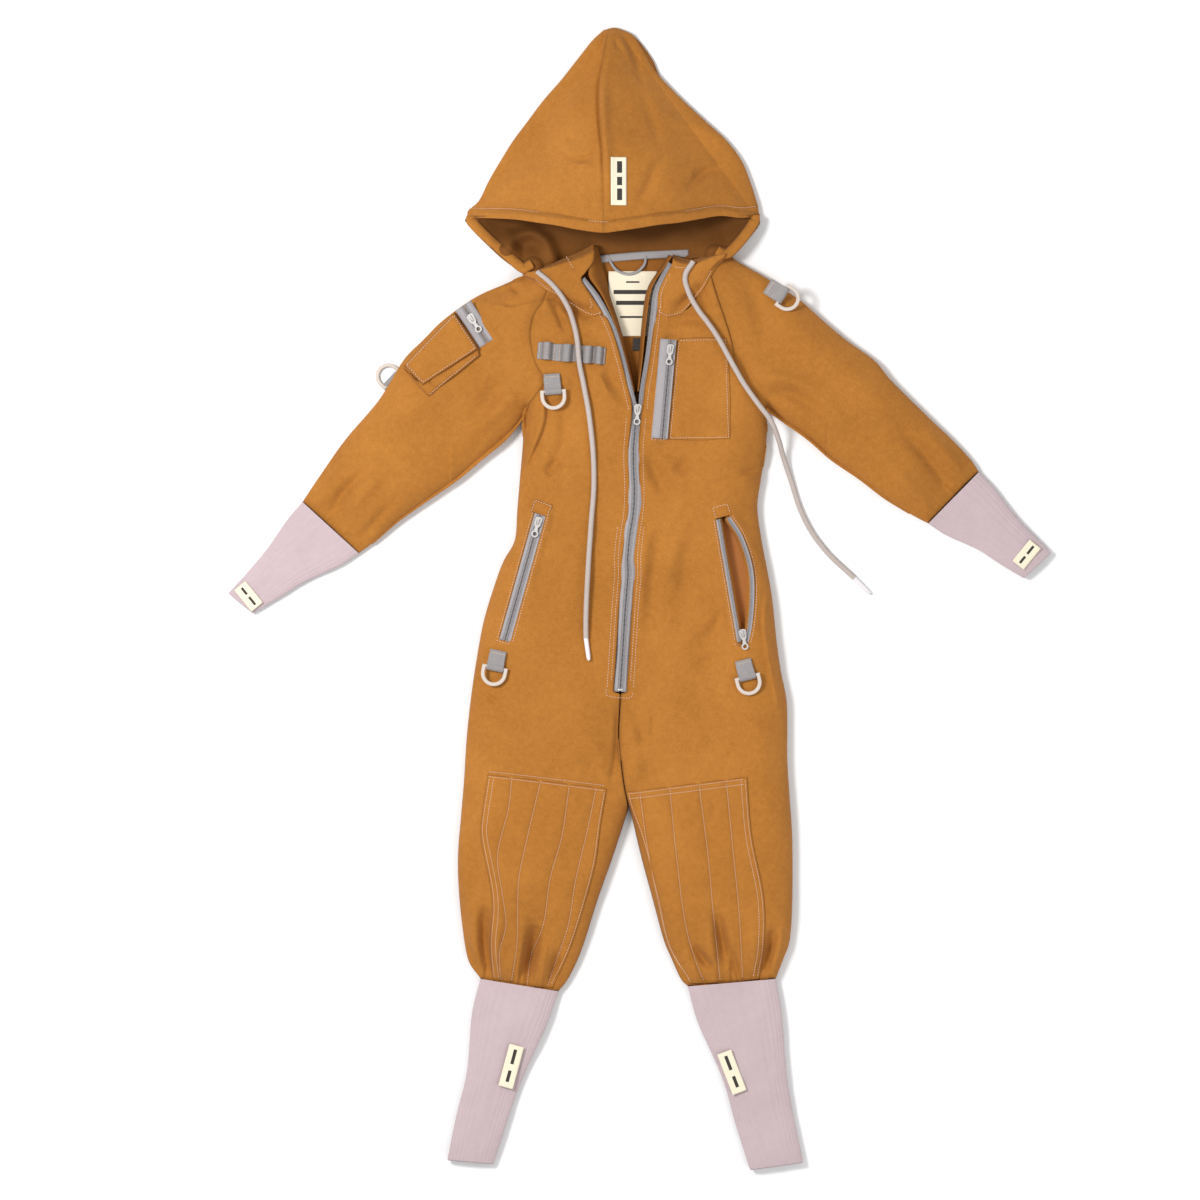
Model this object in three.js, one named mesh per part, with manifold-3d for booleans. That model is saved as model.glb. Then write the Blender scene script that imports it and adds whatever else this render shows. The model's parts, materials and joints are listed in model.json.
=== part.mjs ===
// A child's hooded one-piece work coverall, laid flat on its back.
// Millimetres. +Y runs up the garment to the hood, +X to the viewer's right, +Z up off the surface.
// "right" and "left" are the wearer's, so right parts lie at -X.
// The pattern frame has its origin at the crotch; the last lines centre the garment on its own box.

import * as THREE from 'three';
import { mergeVertices } from 'three/addons/utils/BufferGeometryUtils.js';
import Module from 'manifold-3d';

const wasm = await Module();
wasm.setup();

// ---------- driving dimensions ----------
const TRUNK_LENGTH = 584;      // crotch to back neck seam
const CHEST_WIDTH = 296;       // across the trunk below the armpits, laid flat
const WAIST_WIDTH = 289;
const HIP_WIDTH = 373;
const LEG_LENGTH = 279;        // hip pivot to ankle seam
const SLEEVE_LENGTH = 268;     // shoulder pivot to wrist seam
const ANKLE_CUFF_LENGTH = 222;
const WRIST_CUFF_LENGTH = 140;
const HOOD_LENGTH = 278;       // neck seam to peak
const HOOD_HALF_WIDTH = 172;
const HOOD_BRIM_HEIGHT = 82;   // underside of the brim's centre above the surface

const BACK_THICK = 9;          // the back layer as it lies
const FRONT_TOP = 34;          // top of the trunk's front
const LIMB_TOP = 30;           // top of the sleeves
const LEG_TOP = 33.5;
const WRIST_CUFF_THICK = 14;
const ANKLE_CUFF_THICK = 16;
const EDGE = 4;                // soft rounding on cloth edges
const GAP = 0.4;               // between touching pieces

const SLEEVE_HEAD_R = 60;      // the round end that turns in the trunk
const SLEEVE_CAP_R = 86;       // the shoulder cap behind it
const LEG_HEAD_R = 92;
const RUN = 2;                 // clearance round a turning head

const WEBBING = 20;            // webbing width
const WEB_T = 1.4;
const RING_BAR = 3.4;          // bar of a D-ring
const RING_WIDTH = 31;
const RING_REACH = 24;
const RING_T = 4;

const TAPE_T = 1.6;            // zip tape thickness
const ZIP_SLOT = 1.6;          // slot between the two chains
const TAPE_REACH = 8;          // tape's outer edge from the zip line
const SLIDER_W = 8.6;
const SLIDER_L = 10;
const PLATE_T = 1.4;
const PLATE_CLEAR = 0.4;       // slider plate to tape
const PULL_LENGTH = 20;
const PULL_T = 1.3;
const CROSSBAR = 1.2;

const CORD_D = 6.2;
const LABEL_T = 0.8;
const PATCH_T = 4;             // chest pocket's height off the front

// How the garment lies: the trunk leans and each limb has its own direction.
const LEAN_AT_CROTCH = 12;
const LEAN = 0.045;
const deg = THREE.MathUtils.degToRad;
const LAY = {
  right: { s: -1, arm: deg(226.9), wrist: deg(-7.7), leg: deg(264.9), ankle: deg(-10.6) },
  left: { s: 1, arm: deg(-40.7), wrist: deg(1.6), leg: deg(-82.8), ankle: deg(6.9) },
};

// ---------- derived places in the pattern frame ----------
const NECK = TRUNK_LENGTH;
const fromNeck = (d) => NECK - d;
const centreX = (y) => LEAN_AT_CROTCH + LEAN * y;
const chestHalf = CHEST_WIDTH / 2;
const CHEST_DRAFTED = 148;     // the half chest that the shoulder corners and the cord's fall are drawn for
const wider = chestHalf - CHEST_DRAFTED;
LAY.right.shoulder = [centreX(fromNeck(127)) - chestHalf - 44, fromNeck(127)];
LAY.left.shoulder = [centreX(fromNeck(110)) + chestHalf + 16, fromNeck(110)];
const hipDrop = -10;
const crotchGap = 9;
LAY.right.hip = [-LEG_HEAD_R, hipDrop];
LAY.left.hip = [LEG_HEAD_R + crotchGap, hipDrop];

// ---------- materials ----------
const paint = (color, roughness = 0.9, metalness = 0) =>
  new THREE.MeshStandardMaterial({ color, roughness, metalness });
const CANVAS = 0xb27638;
const CANVAS_DARK = 0x9c6530;
const KNIT = 0xc4b3b7;
const TAPE = 0x9a9596;
const WEB = 0x9b9c9e;
const METAL = 0xb5b3b2;
const RING = 0xcdbeb4;
const CORD = 0xcdc4be;
const TIP = 0xd8d2d4;
const CREAM = 0xe1d7bc;
const NECK_GREY = 0x8c8987;

// ---------- helpers ----------
const vec = (p) => new THREE.Vector2(p[0], p[1]);
const root = new THREE.Group();

function group(parent, x = 0, y = 0, z = 0, turn = 0) {
  const g = new THREE.Group();
  g.position.set(x, y, z);
  g.rotation.z = turn;
  parent.add(g);
  return g;
}

function addMesh(parent, name, geometry, color, roughness, metalness) {
  const mesh = new THREE.Mesh(geometry, paint(color, roughness, metalness));
  mesh.name = name;
  parent.add(mesh);
  return mesh;
}

function wound(outline, clockwise) {
  const points = outline.map(vec);
  return THREE.ShapeUtils.isClockWise(points) === clockwise ? points : points.reverse();
}

// A flat piece: an outline from z0 to z1, its rims rounded by `edge`.
function plate(outline, z0, z1, edge = 0, holes = []) {
  const shape = new THREE.Shape(wound(outline, false));
  shape.holes = holes.map((h) => new THREE.Path(wound(h, true)));
  const geometry = new THREE.ExtrudeGeometry(shape, {
    depth: z1 - z0 - 2 * edge,
    bevelEnabled: edge > 0,
    bevelThickness: edge,
    bevelSize: edge,
    bevelOffset: -edge,
    bevelSegments: edge > 2 ? 2 : 1,
    steps: 1,
  });
  geometry.translate(0, 0, z0 + edge);
  return geometry;
}

function box(x0, x1, y0, y1, z0, z1) {
  const geometry = new THREE.BoxGeometry(x1 - x0, y1 - y0, z1 - z0);
  geometry.translate((x0 + x1) / 2, (y0 + y1) / 2, (z0 + z1) / 2);
  return geometry;
}

function solid(geometry) {
  const bare = geometry.clone();
  bare.deleteAttribute('normal');
  bare.deleteAttribute('uv');
  const merged = mergeVertices(bare, 1e-4);
  return new wasm.Manifold(new wasm.Mesh({
    numProp: 3,
    vertProperties: new Float32Array(merged.attributes.position.array),
    triVerts: new Uint32Array(merged.index.array),
  }));
}

function fromSolid(body) {
  const mesh = body.getMesh();
  const geometry = new THREE.BufferGeometry();
  geometry.setAttribute('position', new THREE.BufferAttribute(mesh.vertProperties, 3));
  geometry.setIndex(new THREE.BufferAttribute(mesh.triVerts, 1));
  geometry.computeVertexNormals();
  return geometry;
}

const cut = (geometry, ...tools) =>
  fromSolid(tools.reduce((body, tool) => body.subtract(solid(tool)), solid(geometry)));
const join = (geometry, ...others) =>
  fromSolid(others.reduce((body, other) => body.add(solid(other)), solid(geometry)));

const smooth = (points, n) => new THREE.SplineCurve(points.map(vec)).getPoints(n).map((p) => [p.x, p.y]);

function arc(cx, cy, r, from, to, n) {
  const points = [];
  for (let i = 0; i <= n; i++) {
    const a = deg(from + ((to - from) * i) / n);
    points.push([cx + r * Math.cos(a), cy + r * Math.sin(a)]);
  }
  return points;
}

// Moves every point of an open path sideways; +d is to the left of its direction.
function offsetPath(path, d) {
  return path.map((p, i) => {
    const a = path[Math.max(i - 1, 0)];
    const b = path[Math.min(i + 1, path.length - 1)];
    const length = Math.hypot(b[0] - a[0], b[1] - a[1]);
    return [p[0] - (d * (b[1] - a[1])) / length, p[1] + (d * (b[0] - a[0])) / length];
  });
}

const ribbon = (path, d0, d1) => [...offsetPath(path, d0), ...offsetPath(path, d1).reverse()];
const mirrored = (points, s) => points.map(([x, y]) => [x, s * y]);

function placed(geometry, x, y, turn) {
  geometry.rotateZ(turn);
  geometry.translate(x, y, 0);
  return geometry;
}

// ---------- zip hardware ----------
// Local frame of a zip: the slider moves along -Y, the tape's top is z = 0.
const PLATE_TOP = PLATE_CLEAR + PLATE_T;
const BAR_Z = PLATE_TOP + 0.3 + CROSSBAR / 2;
const BAIL_UNDER = BAR_Z + CROSSBAR / 2 + 0.3;
const BAIL_TOP = BAIL_UNDER + 1.1;
const BAIL_HALF = 3;
const BAIL_W = 1.4;

function sliderGeometry() {
  const w = SLIDER_W / 2;
  const l = SLIDER_L / 2;
  const outline = smooth([[-w, l * 0.6], [-w * 0.45, l], [w * 0.45, l], [w, l * 0.6], [w * 0.8, -l],
    [-w * 0.8, -l], [-w, l * 0.6]], 24).slice(0, -1);
  const top = plate(outline, PLATE_CLEAR, PLATE_TOP);
  const under = -TAPE_T - PLATE_CLEAR;
  const bottom = plate(outline.map(([x, y]) => [x * 0.9, y * 0.9]), under - PLATE_T, under);
  const web = box(-0.5, 0.5, -l * 0.5, l * 0.5, under - PLATE_T / 2, PLATE_TOP - 0.3);
  const post = 1.1;
  const feet = [-1, 1].map((s) => box(-BAIL_W / 2, BAIL_W / 2, s * BAIL_HALF - post / 2,
    s * BAIL_HALF + post / 2, PLATE_TOP - 0.3, BAIL_TOP - 0.2));
  const bridge = box(-BAIL_W / 2, BAIL_W / 2, -BAIL_HALF - post / 2, BAIL_HALF + post / 2,
    BAIL_UNDER, BAIL_TOP);
  return join(top, bottom, web, ...feet, bridge);
}

// The pull is modelled about its crossbar and lies along -Y.
function pullGeometry() {
  const eyeW = 3.4;
  const eyeEnd = -5.6;
  const ringR = 4.2;
  const ringY = -PULL_LENGTH + ringR;
  const neckW = 1.6;
  const outline = [[eyeW, -0.2], [-eyeW, -0.2], [-eyeW, eyeEnd], [-neckW, eyeEnd - 2.5],
    ...arc(0, ringY, ringR, 125, 415, 18), [neckW, eyeEnd - 2.5], [eyeW, eyeEnd]];
  const eye = [[-1.8, -CROSSBAR / 2], [1.8, -CROSSBAR / 2], [1.8, eyeEnd + 0.6], [-1.8, eyeEnd + 0.6]];
  const ring = arc(0, ringY, ringR - 1.7, 0, 330, 11);
  const body = plate(outline, -PULL_T / 2, PULL_T / 2, 0, [eye, ring]);
  const bar = new THREE.CylinderGeometry(CROSSBAR / 2, CROSSBAR / 2, 2 * eyeW, 10);
  bar.rotateZ(Math.PI / 2);
  return join(body, bar);
}

// Adds a slider and its pull; (x, y) is the slider's middle and `turn` lays its -Y along the zip.
function addSlider(parent, name, x, y, tapeTop, turn) {
  const g = group(parent, x, y, tapeTop, turn);
  addMesh(g, `${name}_slider`, sliderGeometry(), METAL, 0.4, 0.7);
  const pull = addMesh(g, `${name}_pull`, pullGeometry(), METAL, 0.4, 0.7);
  pull.position.z = BAR_Z;
}

// ---------- D-rings on webbing ----------
const TUNNEL_R = RING_BAR / 2 + 0.5;
const TUNNEL_OUTER = TUNNEL_R + WEB_T;
const BAR_HEIGHT = TUNNEL_OUTER + GAP;
const TAB_REACH = 20;

function ringTabGeometry() {
  // side view: x is along the webbing towards the ring, y is height
  const loop = arc(0, BAR_HEIGHT, TUNNEL_OUTER, -90, 125, 14);
  const outline = [...loop, [-TAB_REACH, GAP + 2 * WEB_T], [-TAB_REACH, GAP]];
  const geometry = plate(outline, -WEBBING / 2, WEBBING / 2, 0,
    [arc(0, BAR_HEIGHT, TUNNEL_R, 0, 330, 11)]);
  geometry.rotateX(Math.PI / 2);
  geometry.rotateZ(-Math.PI / 2);
  return geometry;
}

function ringGeometry() {
  const r = RING_WIDTH / 2;
  const t = RING_BAR + 1;
  const side = RING_REACH - r - RING_BAR / 2;
  const outer = [[r, RING_BAR / 2], [-r, RING_BAR / 2], ...arc(0, -side, r, 180, 360, 20)];
  const inner = [[-r + t, -RING_BAR / 2], [r - t, -RING_BAR / 2],
    ...arc(0, -side, r - t, 360, 180, 16)];
  const geometry = plate(outer, -RING_T / 2, RING_T / 2, 0.8, [inner]);
  const slim = box(-WEBBING / 2 - 0.8, WEBBING / 2 + 0.8, -RING_BAR, RING_BAR, RING_BAR / 2, RING_T);
  const slimUnder = box(-WEBBING / 2 - 0.8, WEBBING / 2 + 0.8, -RING_BAR, RING_BAR, -RING_T,
    -RING_BAR / 2);
  return cut(geometry, slim, slimUnder);
}

// (x, y) is the ring's bar, z the cloth it lies on, `turn` lays the ring's reach along -Y.
function addRing(parent, name, x, y, z, turn) {
  const g = group(parent, x, y, z, turn);
  addMesh(g, `${name}_ring_tab`, ringTabGeometry(), WEB, 0.85);
  const ring = addMesh(g, `${name}_ring`, ringGeometry(), RING, 0.5);
  ring.position.z = BAR_HEIGHT;
  ring.rotation.x = Math.asin((BAR_HEIGHT - RING_T / 2 - 2 * GAP) / RING_REACH);
}

// ---------- trunk ----------
const torso = group(root);
const ZIP_BOTTOM = [4, 65];
const ZIP_JOIN = [24.6, fromNeck(184.5)];
const V_RIGHT = [[-38.4, 23], [-19.2, 48], [-1.2, 83], [9.6, 118], [20.4, 161]];
const V_LEFT = [[61.2, 5], [44.4, 37], [39.6, 70], [33.6, 118], [26.6, 161]];
const zipHalf = (v) => {
  const curve = smooth([...v.map(([x, d]) => [x, fromNeck(d)]), ZIP_JOIN], 12);
  const straight = [0.25, 0.5, 0.75, 1].map((t) => [
    ZIP_JOIN[0] + t * (ZIP_BOTTOM[0] - ZIP_JOIN[0]), ZIP_JOIN[1] + t * (ZIP_BOTTOM[1] - ZIP_JOIN[1])]);
  return [...curve, ...straight];
};
const zipRight = zipHalf(V_RIGHT);
const zipLeft = zipHalf(V_LEFT);
const zipTurn = Math.atan2(ZIP_BOTTOM[0] - ZIP_JOIN[0], ZIP_JOIN[1] - ZIP_BOTTOM[1]);

const TONGUE = 26;             // the trunk's lowest point above the crotch
const SIDE_END = 46;           // where its side edges end above the crotch
const waistHalf = Math.min(WAIST_WIDTH / 2, chestHalf);
const halfWidths = [[SIDE_END, HIP_WIDTH / 2 + 3], [78, HIP_WIDTH / 2],
  [174, HIP_WIDTH / 4 + waistHalf / 2 + 5], [246, waistHalf + 3], [294, waistHalf],
  [fromNeck(206), CHEST_WIDTH / 2],
  [fromNeck(180), CHEST_WIDTH / 2 - 6]];
const sideEdge = (s) => halfWidths.map(([y, half]) => [centreX(y) + s * half, y]);

// The room a sleeve's round head and shoulder cap sweep through.
function sleeveSocket(side) {
  const wide = SLEEVE_CAP_R + RUN;
  const tight = SLEEVE_HEAD_R + RUN;
  const outline = [...arc(0, 0, wide, 86, 178, 14), ...arc(0, 0, tight, 178, 446, 36)];
  const g = plate(mirrored(outline, side.s), -1, FRONT_TOP + 1);
  return placed(g, side.shoulder[0], side.shoulder[1], side.arm);
}

function legSocket(side) {
  const g = new THREE.CylinderGeometry(LEG_HEAD_R + RUN, LEG_HEAD_R + RUN, FRONT_TOP + 2, 64);
  g.rotateX(Math.PI / 2);
  g.translate(side.hip[0], side.hip[1], FRONT_TOP / 2);
  return g;
}
const sockets = () => [sleeveSocket(LAY.right), sleeveSocket(LAY.left), legSocket(LAY.right),
  legSocket(LAY.left)];

const tongueX = ZIP_BOTTOM[0];
const backOutline = [[tongueX, TONGUE], ...sideEdge(1), [centreX(NECK) + 108 + Math.min(wider, 0), fromNeck(16)],
  [centreX(NECK) + 80, fromNeck(2)], [centreX(NECK) - 110, fromNeck(2)],
  [centreX(NECK) - 140 - Math.min(wider, 0), fromNeck(24)], ...sideEdge(-1).reverse()];
addMesh(torso, 'back_panel', cut(plate(backOutline, 0, BACK_THICK), ...sockets()), CANVAS_DARK);

const FRONT_LOW = BACK_THICK + GAP;
const seamClear = TAPE_REACH + GAP;
const NECKLINE_RIGHT = [[-30, 70], [-41, 66], [-84, 38], [-108, 23]];
const NECKLINE_LEFT = [[66, 69], [85, 62], [109, 32], [130, 8]];
const below = ([x, d]) => [x, fromNeck(d) - GAP];
const above = ([x, d]) => [x, fromNeck(d) + GAP];

// An inner edge beside the zip, from the neckline to the bottom stop, then down the centre seam.
function innerEdge(path, s, topDrop) {
  const edge = offsetPath(path, s * seamClear).filter((p) => p[1] < fromNeck(topDrop));
  return [...edge, [edge.at(-1)[0], ZIP_BOTTOM[1] - 3], [tongueX + s * GAP, ZIP_BOTTOM[1] - 3],
    [tongueX + s * GAP, TONGUE]];
}
const frontRight = [...NECKLINE_RIGHT.map(below).reverse(), ...innerEdge(zipRight, -1, 72),
  ...sideEdge(-1), [centreX(NECK) - 140, fromNeck(40)]];
const overArmpit = [sideEdge(1).at(-1)[0] - 8.6, fromNeck(134)];
const frontLeft = [...NECKLINE_LEFT.map(below).reverse(), ...innerEdge(zipLeft, 1, 72),
  ...sideEdge(1), overArmpit, [centreX(NECK) + 104, fromNeck(20)]];

// hip zips: a line for each, from its top to its bottom
const HIP_R = [[-91, 280], [-134.4, 125]];
const HIP_L = [[121, 271], [147, 124]];
const HIP_BOW = [[135, 270], [150, 245], [162, 209], [163.5, 178], [159, 138], [156, 122]];
const turnOf = ([a, b]) => Math.atan2(b[0] - a[0], a[1] - b[1]);
const lengthOf = ([a, b]) => Math.hypot(b[0] - a[0], b[1] - a[1]);
const hipTapeTop = FRONT_TOP - 1;
const hipRightOutline = (grow) => ribbon(HIP_R, TAPE_REACH + grow, -TAPE_REACH - grow);
const hipGroove = plate(hipRightOutline(GAP), FRONT_TOP - 8, FRONT_TOP + 1);
addMesh(torso, 'front_panel_right', cut(plate(frontRight, FRONT_LOW, FRONT_TOP, 0), ...sockets(),
  hipGroove), CANVAS);

const HIP_MOUTH_FLOOR = 13;
function stretched(path, grow) {
  const top = [path[0][0], path[0][1] + grow];
  const bottom = [path.at(-1)[0], path.at(-1)[1] - grow];
  return [top, ...path.slice(1, -1), bottom];
}
const hipLeftOutline = (grow) => [...offsetPath(stretched(HIP_L, grow), -5 - grow),
  ...offsetPath(stretched(smooth(HIP_BOW, 14), grow), 4.5 + grow).reverse()];
const hipMouth = plate(hipLeftOutline(GAP), HIP_MOUTH_FLOOR, FRONT_TOP + 1);
addMesh(torso, 'front_panel_left', cut(plate(frontLeft, FRONT_LOW, FRONT_TOP, 0), ...sockets(),
  hipMouth), CANVAS);

addMesh(torso, 'hip_pocket_bag', plate(hipLeftOutline(-1.5), HIP_MOUTH_FLOOR + GAP,
  HIP_MOUTH_FLOOR + 3), CANVAS_DARK);

// ---------- collar ----------
const COLLAR_TOP = 30;
const vEdge = (path, s, from, to) => offsetPath(path, s * seamClear)
  .filter((p) => p[1] < fromNeck(from) && p[1] > fromNeck(to));
const collarRight = [...NECKLINE_RIGHT.map(above), [-92, fromNeck(12)], [-58, fromNeck(6)],
  ...vEdge(zipRight, -1, 20, 62)];
const collarLeft = [...NECKLINE_LEFT.map(above), [112, fromNeck(2)], [80, fromNeck(2)],
  ...vEdge(zipLeft, 1, 6, 64)];
addMesh(torso, 'collar_right', plate(collarRight, FRONT_LOW, COLLAR_TOP), CANVAS);
addMesh(torso, 'collar_left', plate(collarLeft, FRONT_LOW, COLLAR_TOP), CANVAS);

// ---------- neck trim inside the back ----------
const LOOP_X = 12;
const LOOP_R = 22;
const loopOuter = arc(LOOP_X, fromNeck(4), LOOP_R, 180, 360, 14);
const loopInner = arc(LOOP_X, fromNeck(4), LOOP_R - 3, 360, 180, 14);
const hangerGeometry = plate([...loopOuter, ...loopInner], BACK_THICK + GAP, BACK_THICK + GAP + 2.4);
hangerGeometry.translate(0, -fromNeck(4), 0);
hangerGeometry.scale(1, 0.72, 1);
hangerGeometry.translate(0, fromNeck(4), 0);
addMesh(torso, 'hanger_loop', hangerGeometry, NECK_GREY, 0.85);
addMesh(torso, 'neck_label', box(-5, 43, fromNeck(92), fromNeck(28), BACK_THICK + 0.3,
  BACK_THICK + 0.3 + LABEL_T - 0.3), CREAM);

// ---------- main zip ----------
const mainTapeTop = FRONT_TOP - 1;
for (const [side, path] of [['right', zipRight], ['left', zipLeft]]) {
  const s = LAY[side].s;
  addMesh(torso, `main_zip_tape_${side}`, plate(ribbon(path, (s * ZIP_SLOT) / 2, s * TAPE_REACH),
    mainTapeTop - TAPE_T, mainTapeTop), TAPE);
}
const MAIN_START = [ZIP_JOIN[0] + 0.25, ZIP_JOIN[1] + 4];
addSlider(torso, 'main', MAIN_START[0], MAIN_START[1], mainTapeTop, zipTurn);

// ---------- a pocket zip: one tape with a slot along its line ----------
function zipBand(line, reachA, reachB, z0, overrun) {
  const along = lengthOf(line);
  const slot = [[-ZIP_SLOT / 2, -overrun], [ZIP_SLOT / 2, -overrun],
    [ZIP_SLOT / 2, -along + overrun], [-ZIP_SLOT / 2, -along + overrun]];
  const outline = [[-reachA, 0], [reachB, 0], [reachB, -along], [-reachA, -along]];
  const g = plate(outline, z0, z0 + TAPE_T, 0, [slot]);
  return placed(g, line[0][0], line[0][1], turnOf(line));
}
const along = (line, d) => {
  const t = d / lengthOf(line);
  return [line[0][0] + t * (line[1][0] - line[0][0]), line[0][1] + t * (line[1][1] - line[0][1])];
};

addMesh(torso, 'hip_zip_right', zipBand(HIP_R, TAPE_REACH - 0.5, TAPE_REACH - 0.5,
  hipTapeTop - TAPE_T, 4), TAPE);
const hipRightStart = along(HIP_R, 12);
addSlider(torso, 'hip_right', hipRightStart[0], hipRightStart[1], hipTapeTop, turnOf(HIP_R));

// The left hip zip lies open: a straight tape and a bowed one, joined at both ends.
const mouthHole = [...offsetPath([[122.5, 262], [147.4, 127]], 3.4),
  ...offsetPath(smooth([[138, 262], [150, 243], [161, 209], [162, 178], [157.5, 138], [155.5, 127]], 12),
    -4).reverse()];
addMesh(torso, 'hip_zip_left', plate(hipLeftOutline(-0.3), hipTapeTop - TAPE_T, hipTapeTop, 0,
  [mouthHole]), TAPE);
const HIP_L_START = [150.6, 134];
addSlider(torso, 'hip_left', HIP_L_START[0], HIP_L_START[1], hipTapeTop, turnOf(HIP_L));

// ---------- chest pocket ----------
const CHEST_ZIP = [[64.8, fromNeck(98)], [54.2, fromNeck(217)]];
const CHEST_LIFT = FRONT_TOP + PLATE_T + PLATE_CLEAR + 0.4;
addMesh(torso, 'chest_zip', zipBand(CHEST_ZIP, 12, 6, CHEST_LIFT, 4), TAPE);
const chestStart = along(CHEST_ZIP, 11);
addSlider(torso, 'chest', chestStart[0], chestStart[1], CHEST_LIFT + TAPE_T, turnOf(CHEST_ZIP));
const pocketOutline = [[72.6, fromNeck(97)], [61.6, fromNeck(218)], [135, fromNeck(218)],
  [132, fromNeck(96)]];
addMesh(torso, 'chest_pocket', plate(pocketOutline, FRONT_TOP + 0.3, FRONT_TOP + PATCH_T), CANVAS);

// ---------- tool loops: one webbing strip that rises in four loops ----------
const TOOL_X = -54.6;
const TOOL_Y = fromNeck(114.5);
const TOOL_LENGTH = 80;
const TOOL_BUMPS = [-29.4, -5.4, 19.6, 33];
const BUMP_HALF = 5.6;
const BUMP_HEIGHT = 9;
function toolLoopsGeometry() {
  const top = [];
  const under = [];
  const rise = (r, h) => (a) => [r * Math.cos(deg(a)), h * Math.sin(deg(a))];
  for (const x of TOOL_BUMPS) {
    for (let a = 180; a >= 0; a -= 22.5) {
      const [ox, oz] = rise(BUMP_HALF, BUMP_HEIGHT)(a);
      const [ix, iz] = rise(BUMP_HALF - WEB_T, BUMP_HEIGHT - WEB_T)(a);
      top.push([x + ox, Math.max(oz, WEB_T)]);
      under.push([x + ix, Math.max(iz, 0)]);
    }
  }
  const l = TOOL_LENGTH / 2;
  const outline = [[-l, 0], [-l, WEB_T], ...top, [l, WEB_T], [l, 0], ...under.reverse()];
  const g = plate(outline, -WEBBING / 2, WEBBING / 2);
  g.rotateX(Math.PI / 2);
  return g;
}
const toolLoops = addMesh(torso, 'tool_loops', toolLoopsGeometry(), WEB, 0.8);
toolLoops.position.set(TOOL_X, TOOL_Y, FRONT_TOP + 0.3);
toolLoops.rotation.z = deg(-4.5);

// ---------- rings on the trunk ----------
addRing(torso, 'chest', -76.6, fromNeck(160), FRONT_TOP, deg(4));
addRing(torso, 'hip_right', -146, 93, FRONT_TOP, deg(-12));
addRing(torso, 'hip_left', 156, 82, FRONT_TOP, deg(14));

// ---------- hood drawcords ----------
const CORD_ON = FRONT_TOP + GAP + CORD_D / 2;
const ON_LOOPS = CORD_ON + WEB_T + 0.3;
const ON_POCKET = FRONT_TOP + PATCH_T + GAP + CORD_D / 2;
const ON_FLOOR = CORD_D / 2 + 0.4;
const CORD_RIGHT = [[-96, 567.6, 39], [-76.8, 550.8, CORD_ON + 0.5], [-60, 526.8, CORD_ON],
  [-52, 505.2, CORD_ON], [-47.6, 484, ON_LOOPS], [-46.3, 470, ON_LOOPS], [-44.8, 456, ON_LOOPS],
  [-40, 432, CORD_ON], [-32.4, 387.6, CORD_ON], [-27.6, 319.2, CORD_ON], [-31.2, 262.8, CORD_ON],
  [-34.8, 207.6, CORD_ON], [-37.2, 152.4, CORD_ON], [-37.2, 128.4, CORD_ON]];
const CORD_LEFT = [[91.2, 579.6, 39], [81.6, 562, CORD_ON + 0.5], [84, 547.2, CORD_ON],
  [96, 523.2, CORD_ON + 0.8], [108, 507, ON_POCKET - 1], [119, 491, ON_POCKET], [132, 468, ON_POCKET],
  [142, 450, ON_POCKET - 1.5], [152, 433, CORD_ON],
  ...[[169, 409, CORD_ON + 0.6], [184, 389, 35.5], [193, 369, 24], [200, 346, 10],
    [208, 322, ON_FLOOR + 0.6], [226, 271, ON_FLOOR], [249.6, 235.2, ON_FLOOR],
    [285.6, 200.4, ON_FLOOR]].map(([x, y, z]) => [x + wider, y, z])];
const TIPS = { right: [-33.6, 101, CORD_ON], left: [305 + wider, 181, ON_FLOOR] };
const TIP_D = CORD_D - 1;

for (const [side, route] of [['right', CORD_RIGHT], ['left', CORD_LEFT]]) {
  const points = route.map((p) => new THREE.Vector3(...p));
  const curve = new THREE.CatmullRomCurve3(points, false, 'centripetal');
  const section = new THREE.Shape(arc(0, 0, CORD_D / 2, 0, 315, 7).map(vec));
  const tube = new THREE.ExtrudeGeometry(section, { steps: 34, bevelEnabled: false, extrudePath: curve });
  addMesh(torso, `drawcord_${side}`, tube, CORD, 0.85);
  const end = points.at(-1);
  const tipEnd = new THREE.Vector3(...TIPS[side]);
  const way = tipEnd.clone().sub(end).normalize();
  const start = end.clone().addScaledVector(way, GAP);
  const tipCurve = new THREE.LineCurve3(start, tipEnd);
  const tipSection = new THREE.Shape(arc(0, 0, TIP_D / 2, 0, 330, 11).map(vec));
  addMesh(torso, `cord_tip_${side}`, new THREE.ExtrudeGeometry(tipSection,
    { steps: 2, bevelEnabled: false, extrudePath: tipCurve }), TIP, 0.5);
}

// ---------- sleeves ----------
const SHOULDER_EDGE = 62;      // the straight top edge of shoulder and sleeve
const sleeveHalf = [[45, 64], [100, 66], [170, 59], [SLEEVE_LENGTH, 45]];
const WRIST_HALF = [38, 21];

function sleeveOutline(s) {
  const capStart = 180 - THREE.MathUtils.radToDeg(Math.asin(SHOULDER_EDGE / SLEEVE_CAP_R));
  const top = [...sleeveHalf].reverse().map(([u, h]) => [u, h]);
  const under = sleeveHalf.map(([u, h]) => [u, -h]);
  const cap = arc(0, 0, SLEEVE_CAP_R, capStart, 156, 4);
  const head = arc(0, 0, SLEEVE_HEAD_R, 156, 280, 14);
  return mirrored([...top, [0, SHOULDER_EDGE], ...cap, ...head, ...under], s);
}

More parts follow.
